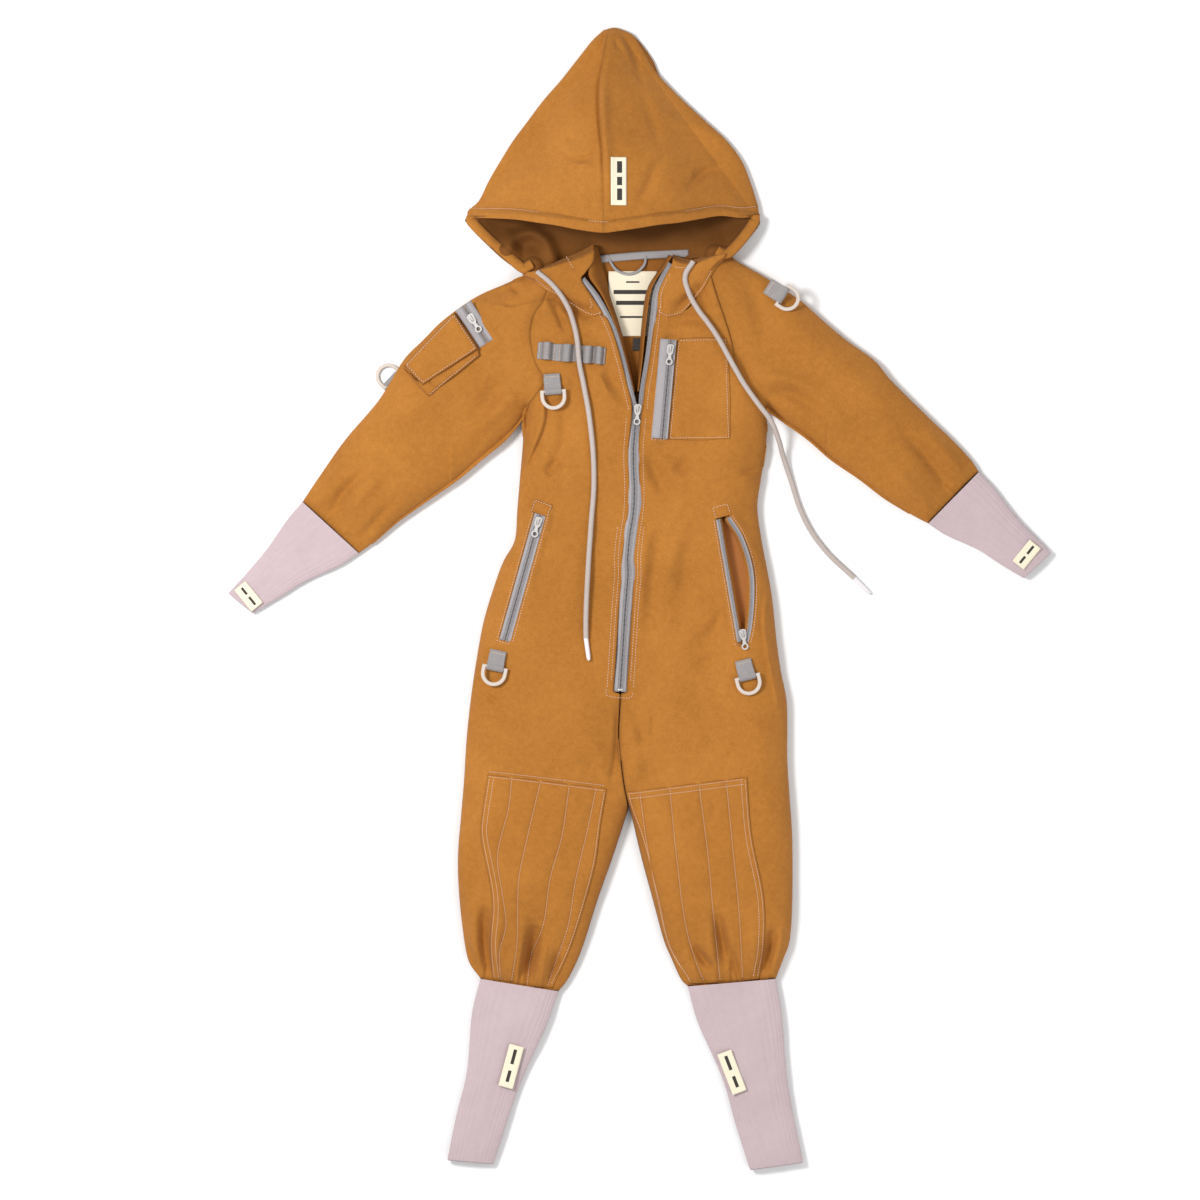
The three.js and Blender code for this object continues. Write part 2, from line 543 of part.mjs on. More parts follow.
// A knitted cuff: a tapering slab with a mouth at its end.
// `turn` is its angle to the limb, whose end its first edge follows.
function cuffGeometry(length, halves, thick, mouthDeep, turn) {
  const [h0, h1] = halves;
  const seam = (v) => [(GAP + v * Math.sin(turn)) / Math.cos(turn), v];
  const outline = [seam(-h0), [length * 0.5, -(h0 * 0.45 + h1 * 0.55)], [length, -h1], [length, h1],
    [length * 0.5, h0 * 0.45 + h1 * 0.55], seam(h0)];
  const body = plate(outline, 0, thick, 3);
  const wall = 3;
  const mouth = box(length - mouthDeep, length + 1, -h1 + 4, h1 - 4, wall, thick - wall);
  return cut(body, mouth);
}

const ARM_RING_U = 89;         // how far down the sleeve the under-arm ring sits
const RING_NOTCH = 9;
const groups = {};
for (const side of ['right', 'left']) {
  const lay = LAY[side];
  const arm = group(root, lay.shoulder[0], lay.shoulder[1], 0, lay.arm);
  groups[`arm_${side}`] = arm;
  let sleeve = plate(sleeveOutline(lay.s), 0, LIMB_TOP, EDGE);
  if (side === 'right') {
    const edge = sleeveHalf[1][1];
    const notch = box(ARM_RING_U - WEBBING / 2 - 2, ARM_RING_U + WEBBING / 2 + 2, -edge - 5,
      -edge + TAB_REACH + 3, -1, RING_NOTCH);
    sleeve = cut(sleeve, notch);
  }
  addMesh(arm, `sleeve_${side}`, sleeve, CANVAS);
  const wrist = group(arm, SLEEVE_LENGTH, 0, 0, lay.wrist);
  addMesh(wrist, `wrist_cuff_${side}`, cuffGeometry(WRIST_CUFF_LENGTH, WRIST_HALF,
    WRIST_CUFF_THICK, 45, lay.wrist), KNIT);
  const label = box(WRIST_CUFF_LENGTH - 20, WRIST_CUFF_LENGTH - 2.5, -17, 17,
    WRIST_CUFF_THICK + 0.3, WRIST_CUFF_THICK + 0.3 + LABEL_T);
  addMesh(wrist, `wrist_label_${side}`, label, CREAM);
}

addRing(groups.arm_left, 'arm_left', -42, 50, LIMB_TOP, deg(90 + 8));
addRing(groups.arm_right, 'arm_right', ARM_RING_U, -sleeveHalf[1][1] - 2, 0, 0);

// ---------- bellows pocket on the right sleeve ----------
const BELLOWS_TOP = 45;
const BAND_LIFT = LIMB_TOP + PLATE_T + PLATE_CLEAR + 0.4;
const SLEEVE_ZIP = [[-34, -66], [-21, -14]];
const bellowsOutline = [[-20.5, -68], [-8.5, -17], [69, -36], [67, -69]];
const arm = groups.arm_right;
addMesh(arm, 'sleeve_pocket', plate(bellowsOutline, LIMB_TOP + 0.3, BELLOWS_TOP, 3), CANVAS);
addMesh(arm, 'sleeve_zip', zipBand(SLEEVE_ZIP, 11.6, 11, BAND_LIFT, 4), TAPE);
const sleeveZipStart = along(SLEEVE_ZIP, 18);
addSlider(arm, 'sleeve', sleeveZipStart[0], sleeveZipStart[1], BAND_LIFT + TAPE_T,
  turnOf(SLEEVE_ZIP));

// ---------- legs ----------
const legHalf = [[60, 95], [128, 92], [200, 79], [248, 66], [LEG_LENGTH, 50]];
const ANKLE_HALF = [42, 29];
const PATCH = { top: 34, bottom: LEG_LENGTH - 4, thick: 2.5 };
const ANKLE_LABELS = { right: [96, 20, 0], left: [99, -22, 7] };

for (const side of ['right', 'left']) {
  const lay = LAY[side];
  const leg = group(root, lay.hip[0], lay.hip[1], 0, lay.leg);
  const under = legHalf.map(([u, h]) => [u, -h]);
  const top = [...legHalf].reverse();
  const outline = [...top, ...arc(0, 0, LEG_HEAD_R, 90, 270, 30), ...under];
  addMesh(leg, `leg_${side}`, plate(outline, 0, LEG_TOP, EDGE), CANVAS);
  const outer = lay.s;
  const patchOutline = [[PATCH.top, outer * 62], [PATCH.top + 4, -outer * 62], [128, -outer * 80],
    [200, -outer * 68], [PATCH.bottom, -outer * 42], [PATCH.bottom, outer * 36], [200, outer * 60],
    [110, outer * 72]];
  addMesh(leg, `knee_patch_${side}`, plate(patchOutline, LEG_TOP + 0.3, LEG_TOP + PATCH.thick), CANVAS);
  const ankle = group(leg, LEG_LENGTH, 0, 0, lay.ankle);
  addMesh(ankle, `ankle_cuff_${side}`, cuffGeometry(ANKLE_CUFF_LENGTH, ANKLE_HALF,
    ANKLE_CUFF_THICK, 60, lay.ankle), KNIT);
  const [u, v, turn] = ANKLE_LABELS[side];
  const label = box(-27, 27, -9, 9, ANKLE_CUFF_THICK + 0.3, ANKLE_CUFF_THICK + 0.3 + LABEL_T);
  addMesh(ankle, `ankle_label_${side}`, placed(label, u, v, deg(turn)), CREAM);
}

// ---------- hood ----------
const hood = group(root, 0, NECK, 0);
const HOOD_BACK_THICK = 6;
const SHEET = 4;
const ROOF_RISE = 10;          // roof's underside over the back, at the lobes and the peak
const PEAK = [-2, HOOD_LENGTH, HOOD_BACK_THICK + ROOF_RISE];
const BRIM = [-17, 29, HOOD_BRIM_HEIGHT];
const lobe = (s) => [s * HOOD_HALF_WIDTH - 4, 50, HOOD_BACK_THICK + ROOF_RISE];
const at = (p) => new THREE.Vector3(...p);

// A flat sheet on the plane through the peak, the brim's centre and one lobe, drawn in plan.
function roofSheet(planOutline, a, b, c, thick, lift) {
  const e1 = at(b).sub(at(a)).normalize();
  const normal = new THREE.Vector3().crossVectors(e1, at(c).sub(at(a))).normalize();
  if (normal.z < 0) normal.negate();
  const e2 = new THREE.Vector3().crossVectors(normal, e1);
  const points = planOutline.map(([x, y]) => {
    const d = new THREE.Vector3(x - a[0], y - a[1], 0);
    d.z = -(normal.x * d.x + normal.y * d.y) / normal.z;
    return [d.dot(e1), d.dot(e2)];
  });
  const g = plate(points, lift, lift + thick);
  g.applyMatrix4(new THREE.Matrix4().makeBasis(e1, e2, normal).setPosition(at(a)));
  return g;
}

const SEAM_CLEAR = 0.6;
for (const side of ['right', 'left']) {
  const s = LAY[side].s;
  const l = lobe(s);
  const outline = [[PEAK[0] + s * SEAM_CLEAR, PEAK[1]], [BRIM[0] + s * SEAM_CLEAR, BRIM[1]],
    [l[0] - s * 90, 33], [l[0] - s * 20, 42], [l[0], 54], [l[0] + s * 6, 66], [s * (HOOD_HALF_WIDTH - 26), 116],
    [s * (HOOD_HALF_WIDTH - 84), 186]];
  addMesh(hood, `hood_panel_${side}`, roofSheet(outline, BRIM, l, PEAK, SHEET, 0), CANVAS);
}
const inset = 6;
const hoodBack = [[-70, 2], [110, 2], [HOOD_HALF_WIDTH - 20, 30], [HOOD_HALF_WIDTH - 4 - inset, 62],
  [HOOD_HALF_WIDTH - 32, 118], [HOOD_HALF_WIDTH - 88, 186], [2, HOOD_LENGTH - inset],
  [-HOOD_HALF_WIDTH + 86, 186], [-HOOD_HALF_WIDTH + 30, 118], [-HOOD_HALF_WIDTH + inset, 62],
  [-HOOD_HALF_WIDTH + 14, 30]];
addMesh(hood, 'hood_back', plate(hoodBack, 0, HOOD_BACK_THICK), CANVAS_DARK);
addMesh(hood, 'neck_tape', box(-20, 85, 2.5, 12.5, HOOD_BACK_THICK + 0.3, HOOD_BACK_THICK + 1.5),
  NECK_GREY);
const labelOutline = [[-8, 60], [12, 60], [12, 119], [-8, 119]];
addMesh(hood, 'hood_label', roofSheet(labelOutline, BRIM, lobe(1), PEAK, LABEL_T, SHEET + 0.3), CREAM);

// ---------- centre the garment on its own box, without the loose cords ----------
root.updateMatrixWorld(true);
const bounds = new THREE.Box3();
root.traverse((mesh) => {
  if (mesh.isMesh && !mesh.name.startsWith('drawcord') && !mesh.name.startsWith('cord_tip')) {
    bounds.expandByObject(mesh, true);
  }
});
const middle = bounds.getCenter(new THREE.Vector3());
root.position.set(-middle.x, -middle.y, -bounds.min.z);
root.updateMatrixWorld(true);

export default root;
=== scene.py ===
import json
import math

import bmesh
import bpy
import numpy as np
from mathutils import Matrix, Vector

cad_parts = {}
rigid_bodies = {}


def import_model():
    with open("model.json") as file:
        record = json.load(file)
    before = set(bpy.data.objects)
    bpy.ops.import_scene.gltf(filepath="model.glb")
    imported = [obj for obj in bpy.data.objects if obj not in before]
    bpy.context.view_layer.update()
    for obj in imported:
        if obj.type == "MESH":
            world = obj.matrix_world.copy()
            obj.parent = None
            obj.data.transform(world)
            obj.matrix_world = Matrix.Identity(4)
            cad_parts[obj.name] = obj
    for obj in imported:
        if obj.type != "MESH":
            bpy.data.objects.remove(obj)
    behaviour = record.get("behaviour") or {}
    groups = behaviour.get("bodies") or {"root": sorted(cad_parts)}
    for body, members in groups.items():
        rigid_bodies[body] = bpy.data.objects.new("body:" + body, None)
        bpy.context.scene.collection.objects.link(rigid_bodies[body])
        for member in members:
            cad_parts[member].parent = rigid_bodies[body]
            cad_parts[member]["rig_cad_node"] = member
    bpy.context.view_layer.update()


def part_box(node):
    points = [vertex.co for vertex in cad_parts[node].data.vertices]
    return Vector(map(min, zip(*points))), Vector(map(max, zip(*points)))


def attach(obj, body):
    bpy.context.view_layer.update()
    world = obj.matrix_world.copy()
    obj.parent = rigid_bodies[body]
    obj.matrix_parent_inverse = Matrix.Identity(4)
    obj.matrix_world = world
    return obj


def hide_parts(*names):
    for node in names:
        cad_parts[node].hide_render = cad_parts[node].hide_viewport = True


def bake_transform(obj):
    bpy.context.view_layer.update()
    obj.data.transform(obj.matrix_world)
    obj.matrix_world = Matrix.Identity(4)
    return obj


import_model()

# The coverall is drafted in millimetres on the pattern's own axes, whose origin is on the
# centre seam a little above the crotch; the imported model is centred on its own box.
PATTERN_X = 29.0417
PATTERN_Y = 176.7898
MM = 0.001


def on_frame(p):
    """Pattern millimetres to metres in the shared frame."""
    p = np.atleast_2d(np.asarray(p, float))
    return (p - np.array([PATTERN_X, PATTERN_Y, 0.0])) * MM


def spot(x, y, z):
    return tuple(float(c) for c in on_frame((x, y, z))[0])


# ---------- camera ----------
camera_data = bpy.data.cameras.new("camera")
camera = bpy.data.objects.new("camera", camera_data)
bpy.context.scene.collection.objects.link(camera)
bpy.context.scene.camera = camera
camera_data.lens = 200
camera_data.sensor_width = 36
VIEW_WIDTH = 1.44
camera.location = (-0.0494, -0.0028, 0.02 + VIEW_WIDTH * camera_data.lens / camera_data.sensor_width)
camera_data.clip_end = 50


# ---------- curves ----------
class Line:
    """A smooth line through points, read by its share of the length from 0 to 1."""

    def __init__(self, points, smooth=True):
        p = np.asarray(points, float)
        if smooth and len(p) > 2:
            ends = np.vstack([2 * p[0] - p[1], p, 2 * p[-1] - p[-2]])
            t = np.linspace(0, 1, 9)[:-1][:, None]
            parts = []
            for a, b, c, d in zip(ends, ends[1:], ends[2:], ends[3:]):
                m0 = (c - a) / 2
                m1 = (d - b) / 2
                cap = np.linalg.norm(c - b) * 1.2
                m0 *= min(1, cap / max(np.linalg.norm(m0), 1e-9))
                m1 *= min(1, cap / max(np.linalg.norm(m1), 1e-9))
                parts.append((2 * t**3 - 3 * t**2 + 1) * b + (t**3 - 2 * t**2 + t) * m0
                             + (3 * t**2 - 2 * t**3) * c + (t**3 - t**2) * m1)
            p = np.vstack(parts + [p[-1:]])
        self.points = p
        step = np.linalg.norm(np.diff(p, axis=0), axis=1)
        self.at_length = np.concatenate([[0], np.cumsum(step)])
        self.length = self.at_length[-1]

    def __call__(self, t):
        s = np.clip(t, 0, 1) * self.length
        return np.stack([np.interp(s, self.at_length, c) for c in self.points.T], -1)

    def side(self, t):
        """The unit vector to the left of the line, in plan."""
        d = self(np.clip(t + 0.004, 0, 1)) - self(np.clip(t - 0.004, 0, 1))
        d = d[..., :2] / np.linalg.norm(d[..., :2], axis=-1, keepdims=True)
        return np.stack([-d[..., 1], d[..., 0]], -1)

    def beside(self, d, n=60):
        t = np.linspace(0, 1, n)
        p = self(t)
        p[:, :2] += d * self.side(t)
        return Line(p, smooth=False)


def ramp(t, a, b):
    s = np.clip((t - a) / (b - a), 0, 1)
    return s * s * (3 - 2 * s)


def near(x, y, line):
    """Distance to a line in plan, the side it is on (+ left), and the share along it."""
    p = line.points[:, :2]
    best = np.full(x.shape, 1e9)
    side = np.zeros(x.shape)
    share = np.zeros(x.shape)
    for i in range(len(p) - 1):
        a, d = p[i], p[i + 1] - p[i]
        long2 = float(d @ d)
        if long2 < 1e-9:
            continue
        t = np.clip(((x - a[0]) * d[0] + (y - a[1]) * d[1]) / long2, 0, 1)
        ex, ey = x - a[0] - t * d[0], y - a[1] - t * d[1]
        dist = np.hypot(ex, ey)
        closer = dist < best
        best = np.where(closer, dist, best)
        side = np.where(closer, np.sign(d[0] * ey - d[1] * ex), side)
        length = (line.at_length[i] + t * math.sqrt(long2)) / line.length
        share = np.where(closer, length, share)
    return best, side, share


# ---------- the coverall's outline as it lies ----------
LEG_R_OUT = [(-164, -281), (-179, -258), (-187, -210), (-191, -162), (-191, -126), (-188, -90),
             (-184, -42), (-181, 6), (-176, 54), (-169, 102), (-160, 150), (-146, 196), (-136, 222),
             (-123, 246), (-120, 282), (-117, 318), (-113, 366), (-113, 398)]
LEG_L_OUT = [(191, -281), (200, -258), (208, -234), (211, -186), (211, -114), (208, -66), (205, -18),
             (205, 18), (204, 54), (197, 90), (192, 126), (187, 174), (181, 210), (174, 246),
             (169, 285), (173, 318), (180, 366), (177, 406)]
LEG_R_IN = [(-70, -296), (-59, -282), (-47, -258), (-38, -234), (-23, -186), (-6, -138), (9, -92),
            (14, -76)]
LEG_L_IN = [(85, -290), (77, -282), (66, -258), (56, -234), (43, -186), (30, -138), (19, -92),
            (14, -76)]
ARM_R_UP = [(-84, 546), (-110, 563), (-144, 551), (-176, 536), (-212, 510), (-236, 486), (-259, 462),
            (-288, 414), (-328, 366), (-361, 318), (-378, 292)]
ARM_R_LOW = [(-113, 398), (-138, 366), (-166, 342), (-194, 318), (-228, 294), (-264, 268),
             (-289, 246), (-310, 230)]
ARM_L_UP = [(113, 562), (133, 587), (158, 575), (184, 560), (223, 534), (250, 510), (278, 486),
            (311, 462), (331, 438), (379, 390), (404, 366), (426, 342), (435, 328)]
ARM_L_LOW = [(177, 406), (200, 390), (233, 366), (260, 342), (294, 318), (325, 294), (362, 272),
             (374, 266)]
RAGLAN_R = [(-113, 398), (-98, 420), (-88, 437), (-99, 460), (-105, 489), (-101, 514), (-91, 530),
            (-84, 546)]
RAGLAN_L = [(177, 406), (154, 436), (143, 459), (137, 486), (129, 512), (119, 541), (113, 562)]
ZIP_BOTTOM = (4.0, 65.0)
ZIP_JOIN = (24.6, 399.5)
V_R = [(-38.4, 561), (-19.2, 536), (-1.2, 501), (9.6, 466), (20.4, 423)]
V_L = [(61.2, 579), (44.4, 547), (39.6, 514), (33.6, 466), (26.6, 423)]

outline = np.vstack([
    Line(LEG_R_OUT[:-1] + [(-108, 404)]).points,
    Line([(-108, 404), (-120, 384)] + ARM_R_LOW[1:]).points,
    Line(ARM_R_UP[1:][::-1]).points,
    np.array([(-104, 640), (130, 660)]),
    Line(ARM_L_UP[1:]).points,
    Line(ARM_L_LOW[1:][::-1] + [(180, 408)]).points,
    Line(LEG_L_OUT[::-1][1:]).points,
    Line(LEG_L_IN).points,
    Line(LEG_R_IN[::-1]).points,
])
OUTLINE = Line(np.vstack([outline, outline[:1]])[:, :2], smooth=False)


# ---------- how high the cloth lies ----------
def noise(x, y, size, seed):
    """Smooth noise in -1..1 with features of about that size, the same each run."""
    grid = np.random.RandomState(seed).uniform(-1, 1, (64, 64))
    fx, fy = (x / size) % 64, (y / size) % 64
    ix, iy = np.floor(fx).astype(int), np.floor(fy).astype(int)
    tx, ty = fx - ix, fy - iy
    tx, ty = tx * tx * (3 - 2 * tx), ty * ty * (3 - 2 * ty)
    ix, iy, jx, jy = ix % 64, iy % 64, (ix + 1) % 64, (iy + 1) % 64
    low = grid[ix, iy] * (1 - tx) + grid[jx, iy] * tx
    high = grid[ix, jy] * (1 - tx) + grid[jx, jy] * tx
    return low * (1 - ty) + high * ty


# Each fold: points along it, height (+ ridge, - crease), half width; a pleat falls off
# steeply on one side of its line ("l" or "r" is the low side) and gently on the other.
FOLDS = [
    ([(-140, 527), (-126, 523), (-106, 527), (-78, 533)], 5.0, 14, "l"),
    ([(-170, 540), (-140, 545), (-112, 550)], -4.0, 10, ""),
    ([(-128, 552), (-116, 541)], -3.0, 4, ""),
    ([(-76, 530), (-67, 508), (-60, 491)], -2.6, 4, ""),
    ([(-84, 540), (-61, 529), (-41, 520), (-20, 512)], -5.0, 8, ""),
    ([(-37, 494), (-24, 480), (-12, 466)], -3.0, 10, ""),
    ([(-16, 458), (-8, 438), (3, 423), (13, 408)], -3.0, 9, ""),
    ([(-26, 462), (-20, 436), (-8, 412)], 2.6, 9, ""),
    ([(-92, 436), (-88, 403), (-92, 378), (-113, 328)], 6.0, 15, "l"),
    ([(-60, 400), (-66, 360), (-84, 322)], -2.4, 9, ""),
    ([(-86, 324), (-69, 342)], -2.6, 7, ""),
    ([(-118, 306), (-110, 296), (-101, 284)], -2.6, 4, ""),
    ([(-120, 290), (-108, 312)], 2.2, 5, ""),
    ([(-112, 322), (-96, 300)], -1.8, 5, ""),
    ([(62, 526), (66, 540), (74, 556)], 4.0, 8, "l"),
    ([(70, 522), (84, 536), (95, 548)], -3.2, 6, ""),
    ([(96, 556), (104, 536), (112, 520)], -2.8, 6, ""),
    ([(60, 508), (90, 512), (118, 505)], -3.0, 8, ""),
    ([(66, 326), (76, 332), (90, 340)], -3.2, 8, ""),
    ([(58, 342), (74, 322), (80, 300)], 1.8, 8, ""),
    ([(148, 326), (176, 331)], -2.4, 3.5, ""),
    ([(150, 318), (176, 322)], 1.8, 5, ""),
    ([(38, 350), (46, 326), (60, 300)], -3.0, 8, ""),
    ([(36, 252), (30, 206), (27, 160)], 1.8, 7, ""),
    ([(52, 262), (44, 200), (36, 120)], -2.2, 9, ""),
    ([(91, 262), (82, 210), (72, 160)], -2.0, 9, ""),
    ([(70, 250), (60, 190)], 1.4, 9, ""),
    ([(132, 166), (116, 138), (96, 118)], -3.0, 9, ""),
    ([(120, 112), (96, 84)], -2.0, 10, ""),
    ([(182, 190), (176, 158), (178, 122), (193, 42)], 3.2, 9, "r"),
    ([(-156, 58), (-140, 50)], -2.2, 4, ""),
    ([(-150, 44), (-128, 44)], -1.5, 4, ""),
    ([(-60, 40), (-100, 22), (-150, 22)], -1.6, 12, ""),
    ([(2, 50), (0, 0), (-3, -28), (-8, -44)], -3.0, 4, ""),
    ([(22, 40), (30, 12), (30, -16)], -1.8, 6, ""),
    ([(44, 38), (42, 8)], -1.4, 4, ""),
    ([(30, 66), (60, 44), (110, 34)], 1.4, 12, ""),
    ([(-30, 10), (-18, -22), (-10, -50)], 1.8, 9, ""),
    ([(34, 8), (22, -28), (14, -58)], 1.6, 9, ""),
    ([(-157, -190), (-159, -230), (-153, -284)], -7.0, 7, ""),
    ([(-146, -200), (-144, -240), (-142, -284)], 3.0, 9, ""),
    ([(-172, -190), (-172, -240), (-163, -280)], 2.6, 7, ""),
    ([(-181, -236), (-172, -258), (-166, -280)], -4.0, 4, ""),
    ([(-97, -214), (-103, -244), (-112, -288)], -7.5, 8, ""),
    ([(-112, -210), (-118, -246), (-124, -288)], 3.4, 10, ""),
    ([(-84, -236), (-88, -262), (-94, -290)], 3.0, 8, ""),
    ([(-70, -250), (-76, -272), (-82, -292)], -3.6, 5, ""),
    ([(-182, -76), (-174, -130), (-172, -184)], -2.6, 8, ""),
    ([(120, -200), (125, -228), (131, -262)], -6.0, 6, ""),
    ([(108, -210), (112, -240), (120, -280)], 3.0, 8, ""),
    ([(92, -240), (103, -256), (116, -270)], -4.4, 5, ""),
    ([(189, -220), (183, -244), (174, -280)], -7.0, 6, ""),
    ([(198, -216), (194, -250), (184, -280)], 3.0, 6, ""),
    ([(164, -214), (163, -244), (160, -280)], 3.0, 8, ""),
    ([(137, -246), (141, -262), (144, -282)], -4.0, 4, ""),
    ([(80, -246), (92, -270), (100, -284)], 2.0, 6, ""),
    ([(-150, 470), (-190, 440), (-250, 400), (-300, 356)], 2.0, 18, ""),
    ([(-130, 448), (-150, 420), (-170, 380)], -2.6, 12, ""),
    ([(-120, 420), (-140, 404), (-180, 372)], 2.4, 9, ""),
    ([(-300, 330), (-330, 300), (-344, 272)], -3.2, 7, ""),
    ([(-280, 330), (-308, 296), (-326, 262)], 2.4, 9, ""),
    ([(-330, 330), (-350, 304), (-362, 284)], 2.0, 8, ""),
    ([(-270, 290), (-296, 262), (-312, 246)], -2.4, 6, ""),
    ([(152, 560), (170, 520), (176, 480)], -2.4, 12, ""),
    ([(190, 530), (230, 480), (300, 430)], 2.0, 18, ""),
    ([(180, 420), (210, 420), (250, 396)], -3.2, 9, ""),
    ([(166, 438), (200, 440), (240, 424)], 2.2, 9, ""),
    ([(340, 380), (376, 340), (400, 306)], -3.2, 8, ""),
    ([(366, 384), (396, 350), (420, 318)], 2.2, 8, ""),
    ([(316, 350), (350, 310), (380, 284)], 2.2, 9, ""),
    ([(146, 470), (158, 440), (180, 410)], -3.0, 7, ""),
]


def fold_lines(table):
    return [(Line([(float(a), float(b)) for a, b in pts]), h, w, low) for pts, h, w, low in table]


FOLD_LINES = fold_lines(FOLDS)
# Round places that hardware sits on, where the cloth is level: x, y, radius.
LEVEL_SPOTS = [(-76.6, 436, 17), (-146, 104, 17), (156, 93, 17), (-54.6, 469.5, 24),
               (-80, 470, 20), (-30, 468, 20)]
HIP_R = [(-91, 280), (-134.4, 125)]
CHEST_ZIP = [(64.8, 486), (54.2, 367)]
HIP_L_STRAIGHT = Line([(124, 271), (149.5, 124)], False)
HIP_L_BOW = Line([(131, 271), (146, 247), (157, 212), (159, 178), (156, 142), (152, 124)])
CALM_LINES = [Line(HIP_R, False), HIP_L_STRAIGHT, HIP_L_BOW,
              Line([(-184, 529.5), (-153, 485.5)], False)]
R_SHOULDER, L_SHOULDER = (-159.4, 457.0), (197.3, 474.0)
ARM_R_WAY = (math.cos(math.radians(226.9)), math.sin(math.radians(226.9)))
ARM_L_WAY = (math.cos(math.radians(-40.7)), math.sin(math.radians(-40.7)))


def folds(x, y):
    rise = np.zeros(x.shape)
    for line, height, width, low in FOLD_LINES:
        lo, hi = line.points.min(0) - 3 * width, line.points.max(0) + 3 * width
        pick = (x > lo[0]) & (x < hi[0]) & (y > lo[1]) & (y < hi[1])
        if not pick.any():
            continue
        d, side, share = near(x[pick], y[pick], line)
        taper = np.sin(np.pi * np.clip(share, 0.02, 0.98)) ** 0.6
        if low:
            s = d * side * (-1 if low == "l" else 1)
            shape = np.where(s >= 0, np.exp(-s / width), np.exp(-((s / (0.16 * width)) ** 2)))
            ends = np.exp(-((np.maximum(d - width, 0) / width) ** 2))
            shape = shape * ends
        else:
            shape = np.exp(-((d / width) ** 2))
        rise[pick] += 2.1 * height * taper * shape
    rise += 3.4 * noise(x, 0.55 * y, 58, 3) + 1.7 * noise(x + 0.6 * y, y, 29, 5)
    rise += 0.9 * noise(x - 0.5 * y, 0.4 * y, 12, 8) * noise(x, y, 60, 7)
    return rise + 0.14 * noise(x, y, 5, 9)


def gathers(x, y):
    """Small pleats where the fullness is drawn into a knit cuff."""
    rise = np.zeros(x.shape)
    for a, b in ((ARM_R_UP, ARM_R_LOW), (ARM_L_UP, ARM_L_LOW)):
        end = Line([a[-1], b[-1]], False)
        d, side, share = near(x, y, end)
        wave = np.sin(share * 52 + 2.2 * np.sin(share * 17)) + 0.5 * np.sin(share * 97)
        rise += 1.3 * wave * np.exp(-d / 11) * np.sin(np.pi * np.clip(share, 0, 1)) ** 0.5
    for low, high in ((LEG_R_OUT[0], LEG_R_IN[0]), (LEG_L_OUT[0], LEG_L_IN[0])):
        d, side, share = near(x, y, Line([low, high], False))
        wave = np.sin(share * 47 + 2.6 * np.sin(share * 13)) + 0.6 * np.sin(share * 83 + 1)
        rise += 1.7 * wave * np.exp(-d / (9 + 14 * np.abs(np.sin(share * 11))))
    return rise


def edge_drop(w):
    """How far a rolled edge has dropped, 0 to 1, w of the way round it."""
    return 1 - np.sqrt(np.clip(1 - w * w, 0, 1))


def lie(x, y):
    """Height of the body's upper cloth above the surface."""
    d = near(x, y, OUTLINE)[0]
    arm_r = (x - R_SHOULDER[0]) * ARM_R_WAY[0] + (y - R_SHOULDER[1]) * ARM_R_WAY[1]
    arm_l = (x - L_SHOULDER[0]) * ARM_L_WAY[0] + (y - L_SHOULDER[1]) * ARM_L_WAY[1]
    on_r = ramp(-x, 95, 150) * ramp(y, 320, 380) * ramp(arm_r, -30, 40)
    on_l = ramp(x, 150, 210) * ramp(y, 340, 400) * ramp(arm_l, -50, 20)
    on_r, on_l = np.where(x < -200, 1, on_r), np.where(x > 250, 1, on_l)
    top = 31.2 - 3.4 * (on_r + on_l)
    top = top - 12 * ramp(arm_r, 200, 278) * (x < -200) - 12 * ramp(arm_l, 200, 278) * (x > 250)
    top = top - 13 * ramp(-y, 190, 292)
    s = np.clip(d / 40.0, 0, 1)
    roll = (1 - (1 - s) ** 2.0) ** 0.5
    z = 8 + (top - 8) * roll
    calm = np.ones(x.shape)
    for cx, cy, r in LEVEL_SPOTS:
        calm = np.minimum(calm, ramp(np.hypot(x - cx, y - cy), r * 0.8, r * 1.6))
    for line in CALM_LINES:
        calm = np.minimum(calm, ramp(near(x, y, line)[0], 9, 18))
    z += (folds(x, y) * (0.1 + 0.9 * calm) + gathers(x, y)) * roll
    z += 1.7 * (1 - calm) * roll
    z = np.minimum(z, 35.4 - 2.6 * (1 - calm))
    d, side, share = near(x, y, CALM_LINES[0])
    ends = ramp(share, -0.001, 0.012) * (1 - ramp(share, 0.988, 1.001))
    z = z - 4.2 * (1 - ramp(d, 5.6, 7.6)) * ends
    z = z - 1.4 * (1 - ramp(near(x, y, Line(CHEST_ZIP, False))[0], 5.2, 7.2))
    dl, side_l, share_l = near(x, y, HIP_L_STRAIGHT)
    db, side_b, share_b = near(x, y, HIP_L_BOW)
    inside = (side_l > 0) & (side_b < 0)
    z = z - 3.4 * (1 - ramp(np.where(inside, 0, np.minimum(dl, db)), 4.4, 6.2))
    return z - np.where(inside, 15 * ramp(np.minimum(dl, db), 1.0, 3.4), 0)


# ---------- materials ----------
def group(name, ins, outs):
    tree = bpy.data.node_groups.new(name, "ShaderNodeTree")
    for label, kind, value in ins:
        s = tree.interface.new_socket(name=label, in_out="INPUT", socket_type=kind)
        if value is not None:
            s.default_value = value
    for label, kind in outs:
        tree.interface.new_socket(name=label, in_out="OUTPUT", socket_type=kind)
    return tree, tree.nodes.new("NodeGroupInput"), tree.nodes.new("NodeGroupOutput")


def add(tree, kind, links=(), **settings):
    n = tree.nodes.new(kind)
    for key, value in settings.items():
        if key.startswith("in_"):
            n.inputs[int(key[3:])].default_value = value
        else:
            setattr(n, key, value)
    for i, source in links:
        tree.links.new(source, n.inputs[i])
    return n


